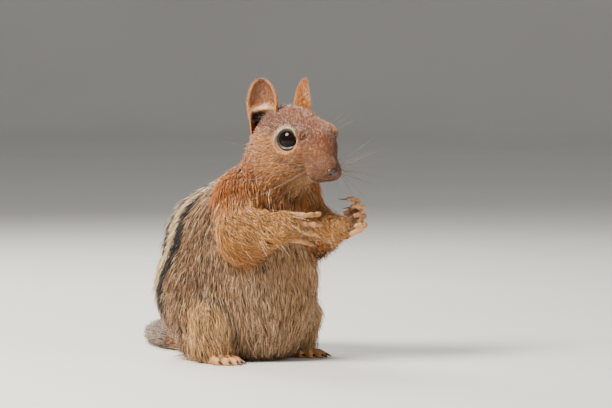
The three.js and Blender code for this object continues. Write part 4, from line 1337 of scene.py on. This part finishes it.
def claw(tip, aim, down, across, length, root):
    """A curved cone: the point at share t is length t along the aim and 0.42 length t^2 down."""
    t = np.linspace(0, 1, 12)[:, None]
    path = tip - 0.6 * aim + length * (t * aim + 0.42 * t**2 * down)
    return tube(path, root * (1 - t[:, 0]) ** 0.75 + 0.06, across, 10, 0.8)


def paw_paint(start, pale=PAW, dark=PAW_DARK):
    """Fine-grained skin, darker in patches."""
    grain = start.noise(1400, 3)
    patch = start.noise(160, 2).between(0.35, 0.7)
    colour = patch.colours(pale, dark).scaled(grain * 0.6 + 0.65)
    return {"Base Color": colour, "Roughness": grain * 0.2 + 0.5, "Normal": grain.bump(0.7, 0.2)}


def claw_paint(start):
    """Dark horn with paler streaks along it."""
    streak = start.noise(900, 2)
    return {"Base Color": streak.between(0.4, 0.75).colours(srgb(40, 28, 23), srgb(128, 98, 78)),
            "Roughness": streak * 0.2 + 0.22}


paw_finish = finish("paw_skin", paw_paint)
# Painted shade: the palm is a darker brown than the fingers, so the gaps between them look shaded
shaded_palm_finish = finish("palm_skin_shaded", lambda start: paw_paint(start, srgb(124, 82, 58), srgb(80, 50, 36)))
claw_finish = finish("horn", claw_paint, Coat_Weight=0.2)
for side, hand in HANDS.items():
    s = SIDES[side]
    along, across, wrist = (np.array(hand[word]) for word in ("along", "across", "wrist"))
    t = np.array([-2.5, -1, 2, 5.5, PALM, PALM + 1.4])
    palm_r, palm_flat = [3.2, 3.4, 4.3, 5.6, 5.2, 3.0], [0.85, 0.8, 0.60, 0.36, 0.18, 0.14]
    inward = unit(np.cross(along, across) * s)
    line = smooth_path(np.column_stack([wrist + t[:, None] * along, palm_r, palm_flat]), 26)
    palm = tube(line[:, :3], line[:, 3], inward, 24, line[:, 4])
    piece(f"palm_{side}", palm, shaded_palm_finish)
    parts = []
    thumb = wrist + 5 * along + 5.4 * across
    thumb_path = thumb + np.linspace(-2.6, 2.8, 12)[:, None] * unit(along + 0.3 * across)
    parts.append(tube(thumb_path, 1.5 * bead(12), across, 12))
    claws = []
    for index in range(4):
        knots, radii, tip, aim, down = finger(hand, s, index)
        line = smooth_path(np.column_stack([knots, radii]), 44)
        parts.append(tube(line[:, :3], line[:, 3], across, 14))
        pad = tip - 1.4 * aim + 0.55 * down + np.linspace(-1.1, 1.0, 9)[:, None] * aim
        parts.append(tube(pad, 0.85 * bead(9), across, 12))
        claws.append(claw(tip - 0.5 * down, unit(aim - 0.35 * down), down, across, 4.4, 0.66))
    piece(f"paw_{side}", joined(parts), paw_finish, [f"hand_{side}"])
    claw_nodes = [f"claw_hand_{side}_{i + 1}" for i in range(4)]
    piece(f"finger_claws_{side}", joined(claws), claw_finish, claw_nodes)

    places = scatter(*palm, lambda p: 7.0)
    out_along = (places - wrist) @ along
    chosen = (out_along > -2) & (out_along < 7.2)
    places, out_along = places[chosen], out_along[chosen]
    offset = places - wrist - ((places - wrist) @ along)[:, None] * along
    normal = unit(offset - 0.75 * (offset @ across)[:, None] * across)
    colour = ARM + (PAW - ARM) * step(out_along, 0, 6)[:, None]
    short_coat(
        f"coat_paw_{side}", places, normal, strayed(along, 0.2, len(places)),
        (1.0, 1.9, 0.18, 0.1, 0.3), (colour, np.full(len(places), 0.35)), (wrist, along),
    )

# %% [markdown]
# ## Hind feet
# A hind foot lies flat: its sections are arches on the floor, from heel to toes, and each toe is a
# row of smaller arches with a knuckle. The ground gives the flat sole.

# %% Feet
HEEL, HIND_FOOT, TOE_RADIUS = np.array([23.5, 6, 0]), 37, 1.9
SOLE = np.array([[0, 3, 4.0], [0.06, 4.4, 6.4], [0.3, 5, 7.0],  # share of the length, half width, height
                 [0.55, 5.8, 6.2], [0.72, 6.2, 4.6], [0.8, 5.0, 2.8]])
TOE = np.array([[0, 1.0, 4.0], [0.3, 1.08, 4.5], [0.5, 0.86, 3.4],  # half width as a share of TOE_RADIUS
                [0.72, 0.95, 3.4], [0.9, 0.8, 2.6], [1, 0.3, 1.2]])
TOES = [(-4.6, 0.60, 0.84), (-2.5, 0.66, 0.95), (0, 0.68, 1.0),  # place across the foot, root and end
        (2.5, 0.66, 0.97), (4.7, 0.58, 0.86)]


def arches(start, along, length, profile, columns=24):
    """At share t a section has half width w and height h: (w cos a, h max(sin a, 0)) on the floor."""
    t, wide, high = smooth_path(profile, 22).T
    a = np.linspace(0, 2 * np.pi, columns, endpoint=False)
    across = np.array([along[1], -along[0], 0])
    rings = start + (length * t)[:, None, None] * along + (wide[:, None] * np.cos(a))[..., None] * across
    rings[..., 2] = 0.12 + high[:, None] * np.maximum(np.sin(a), 0) ** 0.8
    return capped(rings)


for side, s in SIDES.items():
    along = unit(np.array([0.09 * s, -1, 0]))
    heel = mirrored(HEEL, side)
    parts, claws = [arches(heel, along, HIND_FOOT, SOLE)], []
    for across, start, end in TOES:
        splay = unit(along + [0.05 * across * s, 0, 0])
        root = heel + HIND_FOOT * start * along + [across * s, 0, 0]
        length = HIND_FOOT * (end - start)
        parts.append(arches(root, splay, length, TOE * [1, TOE_RADIUS, 1]))
        tip = root + splay * length + [0, 0, 1.5]
        aim, down = unit(splay + [0, 0, 0.15]), np.array([0, 0, -1.0])
        claws.append(claw(tip, aim, down, np.cross(splay, [0, 0, 1]), 3.7, 0.7))
    piece(f"hind_foot_{side}", joined(parts), paw_finish, [f"foot_{side}"])
    claw_nodes = [f"claw_foot_{side}_{i + 1}" for i in range(5)]
    piece(f"toe_claws_{side}", joined(claws), claw_finish, claw_nodes)

    places = scatter(*parts[0], lambda p: 5.0 * step(p[:, 2], 1, 3))
    beside = places[:, 0] - heel[0]
    normal = unit(np.stack([beside / 20, 0 * beside, 1 + 0 * beside], axis=1))
    colour = np.broadcast_to(PAW * 1.1, places.shape)
    short_coat(
        f"coat_foot_{side}", places, normal, strayed(along, 0.15, len(places)),
        (1.8, 3.4, 0.22, 0.1, 0.3), (colour, np.full(len(places), 0.35)), (heel, along),
    )

# %% [markdown]
# ## Tail
# The tail lies on the floor and curves to the animal's left. Its skin is thin; what shows is hair
# that spreads to both sides. Each hair is brown at its root, black further out and buff at its tip,
# so the tail has a dark band and a pale edge.

# %% Tail
TAIL_START, TAIL_LENGTH, TAIL_HEADINGS = np.array([1, 35, 0]), 98, np.radians([10, 66])


def tail_line(t):
    """An arc whose heading turns evenly from +Y towards +X: its points, ways, and ways to the left."""
    start, end = TAIL_HEADINGS
    radius = TAIL_LENGTH / (end - start)
    heading = start + (end - start) * t
    x = radius * (np.cos(start) - np.cos(heading))
    y = radius * (np.sin(heading) - np.sin(start))
    along = np.stack([np.sin(heading), np.cos(heading), 0 * t], axis=1)
    beside = np.stack([np.cos(heading), -np.sin(heading), 0 * t], axis=1)
    return TAIL_START + np.stack([x, y, 5.6 - 1.6 * t], axis=1), along, beside


def tail_paint(start):
    along = start.markings("Alpha") + (start.noise(90, 2) - 0.5) * 0.3
    stops = [(0.0, srgb(112, 78, 52)), (0.50, srgb(176, 118, 72)), (0.60, srgb(40, 28, 22)),
             (0.78, srgb(46, 32, 25)), (0.86, srgb(228, 184, 130)), (1.0, srgb(240, 208, 162))]
    colour = along.node("ValToRGB", {"stops": stops}, {"Fac": along})
    colour = start.node("Mix", {"data_type": "RGBA", "blend_type": "MULTIPLY"},
                        {0: 1.0, 6: colour, 7: start.markings()}, 2)
    return {"Base Color": colour, "Roughness": start.noise(500, 1) * 0.2 + 0.5}


tail_finish = finish("tail_hair", tail_paint, Specular_IOR_Level=0.35, Sheen_Weight=0.15)
t = np.linspace(-0.06, 1.02, 60)
path, _, _ = tail_line(t)
core = tube(path, np.interp(t, [-0.06, 0.1, 0.85, 1.02], [4.2, 3.2, 1.5, 0.3]), [0, 0, 1], 16)
core_colour = np.broadcast_to(srgb(130, 84, 52), core[0].shape)
piece("tail_skin", core, skin_finish, (), with_alpha(core_colour))

TAIL_TUFTS = 19000
t = rng.uniform(-0.04, 1.02, TAIL_TUFTS)
angle = rng.uniform(0, 2 * np.pi, TAIL_TUFTS)
at, along, beside = tail_line(t)
normal = unit(beside * np.cos(angle)[:, None] + np.array([0, 0, 0.55]) * np.sin(angle)[:, None])
places = at + normal * np.interp(t, [-0.04, 0.85, 1.02], [2.6, 1.0, 0.2])[:, None]
hair_length = np.interp(t, [-0.04, 0.12, 0.5, 1.02], [7.5, 13, 16, 11])
hair_length = hair_length * rng.uniform(0.7, 1.08, TAIL_TUFTS)
hair_lift = np.interp(t, [-0.04, 0.1, 0.8, 1.02], [0.35, 0.85, 0.8, 0.3])
hair_lift = hair_lift * (0.3 + 0.7 * np.abs(np.cos(angle)))
way = strayed(along, 0.1, TAIL_TUFTS)
hair_lift = hair_lift * rng.uniform(0.7, 1.2, TAIL_TUFTS)
hairs = tufts(places, normal, way, hair_length, np.full(TAIL_TUFTS, 0.42), hair_lift)
tone = rng.uniform(0.75, 1.15, (TAIL_TUFTS, 1)) * np.ones(3)
coat_piece("coat_tail", hairs, tone, tail_finish, (TAIL_START + [0, 0, 5], (0.6, 0.8, 0)),
           ["tail_base", "tail_middle", "tail_tip"])

# %% [markdown]
# ## Guard hairs
# Some long pale hairs stand out here and there over body and arms, but not on the head. They are
# single fine tubes that break the outline.

# %% Guard hairs
GUARD_HAIRS, GUARD_LENGTH, GUARD_FLOOR = 260, 11, 14  # GUARD_FLOOR is the least height of a root
hairs = []
picks = rng.permutation(np.flatnonzero(~on_head & (roots[:, 2] > GUARD_FLOOR)))[:GUARD_HAIRS]
for i in picks:
    bend = np.linspace(0, 1, 7)[:, None]
    reach = GUARD_LENGTH * rng.uniform(0.8, 1.25)
    out = unit(lie(roots[i : i + 1])[0] + 0.42 * normals[i])
    path = roots[i] + reach * (bend * out - 0.12 * bend**2 * normals[i])
    hairs.append(tube(path, 0.1 * (1 - 0.85 * bend[:, 0]), normals[i], 4))
guard_paint = mottled(200, srgb(214, 180, 140), srgb(244, 226, 200))
guard_finish = finish("guard_hair", guard_paint, Roughness=0.4)
piece("guard_hairs", joined(hairs), guard_finish)
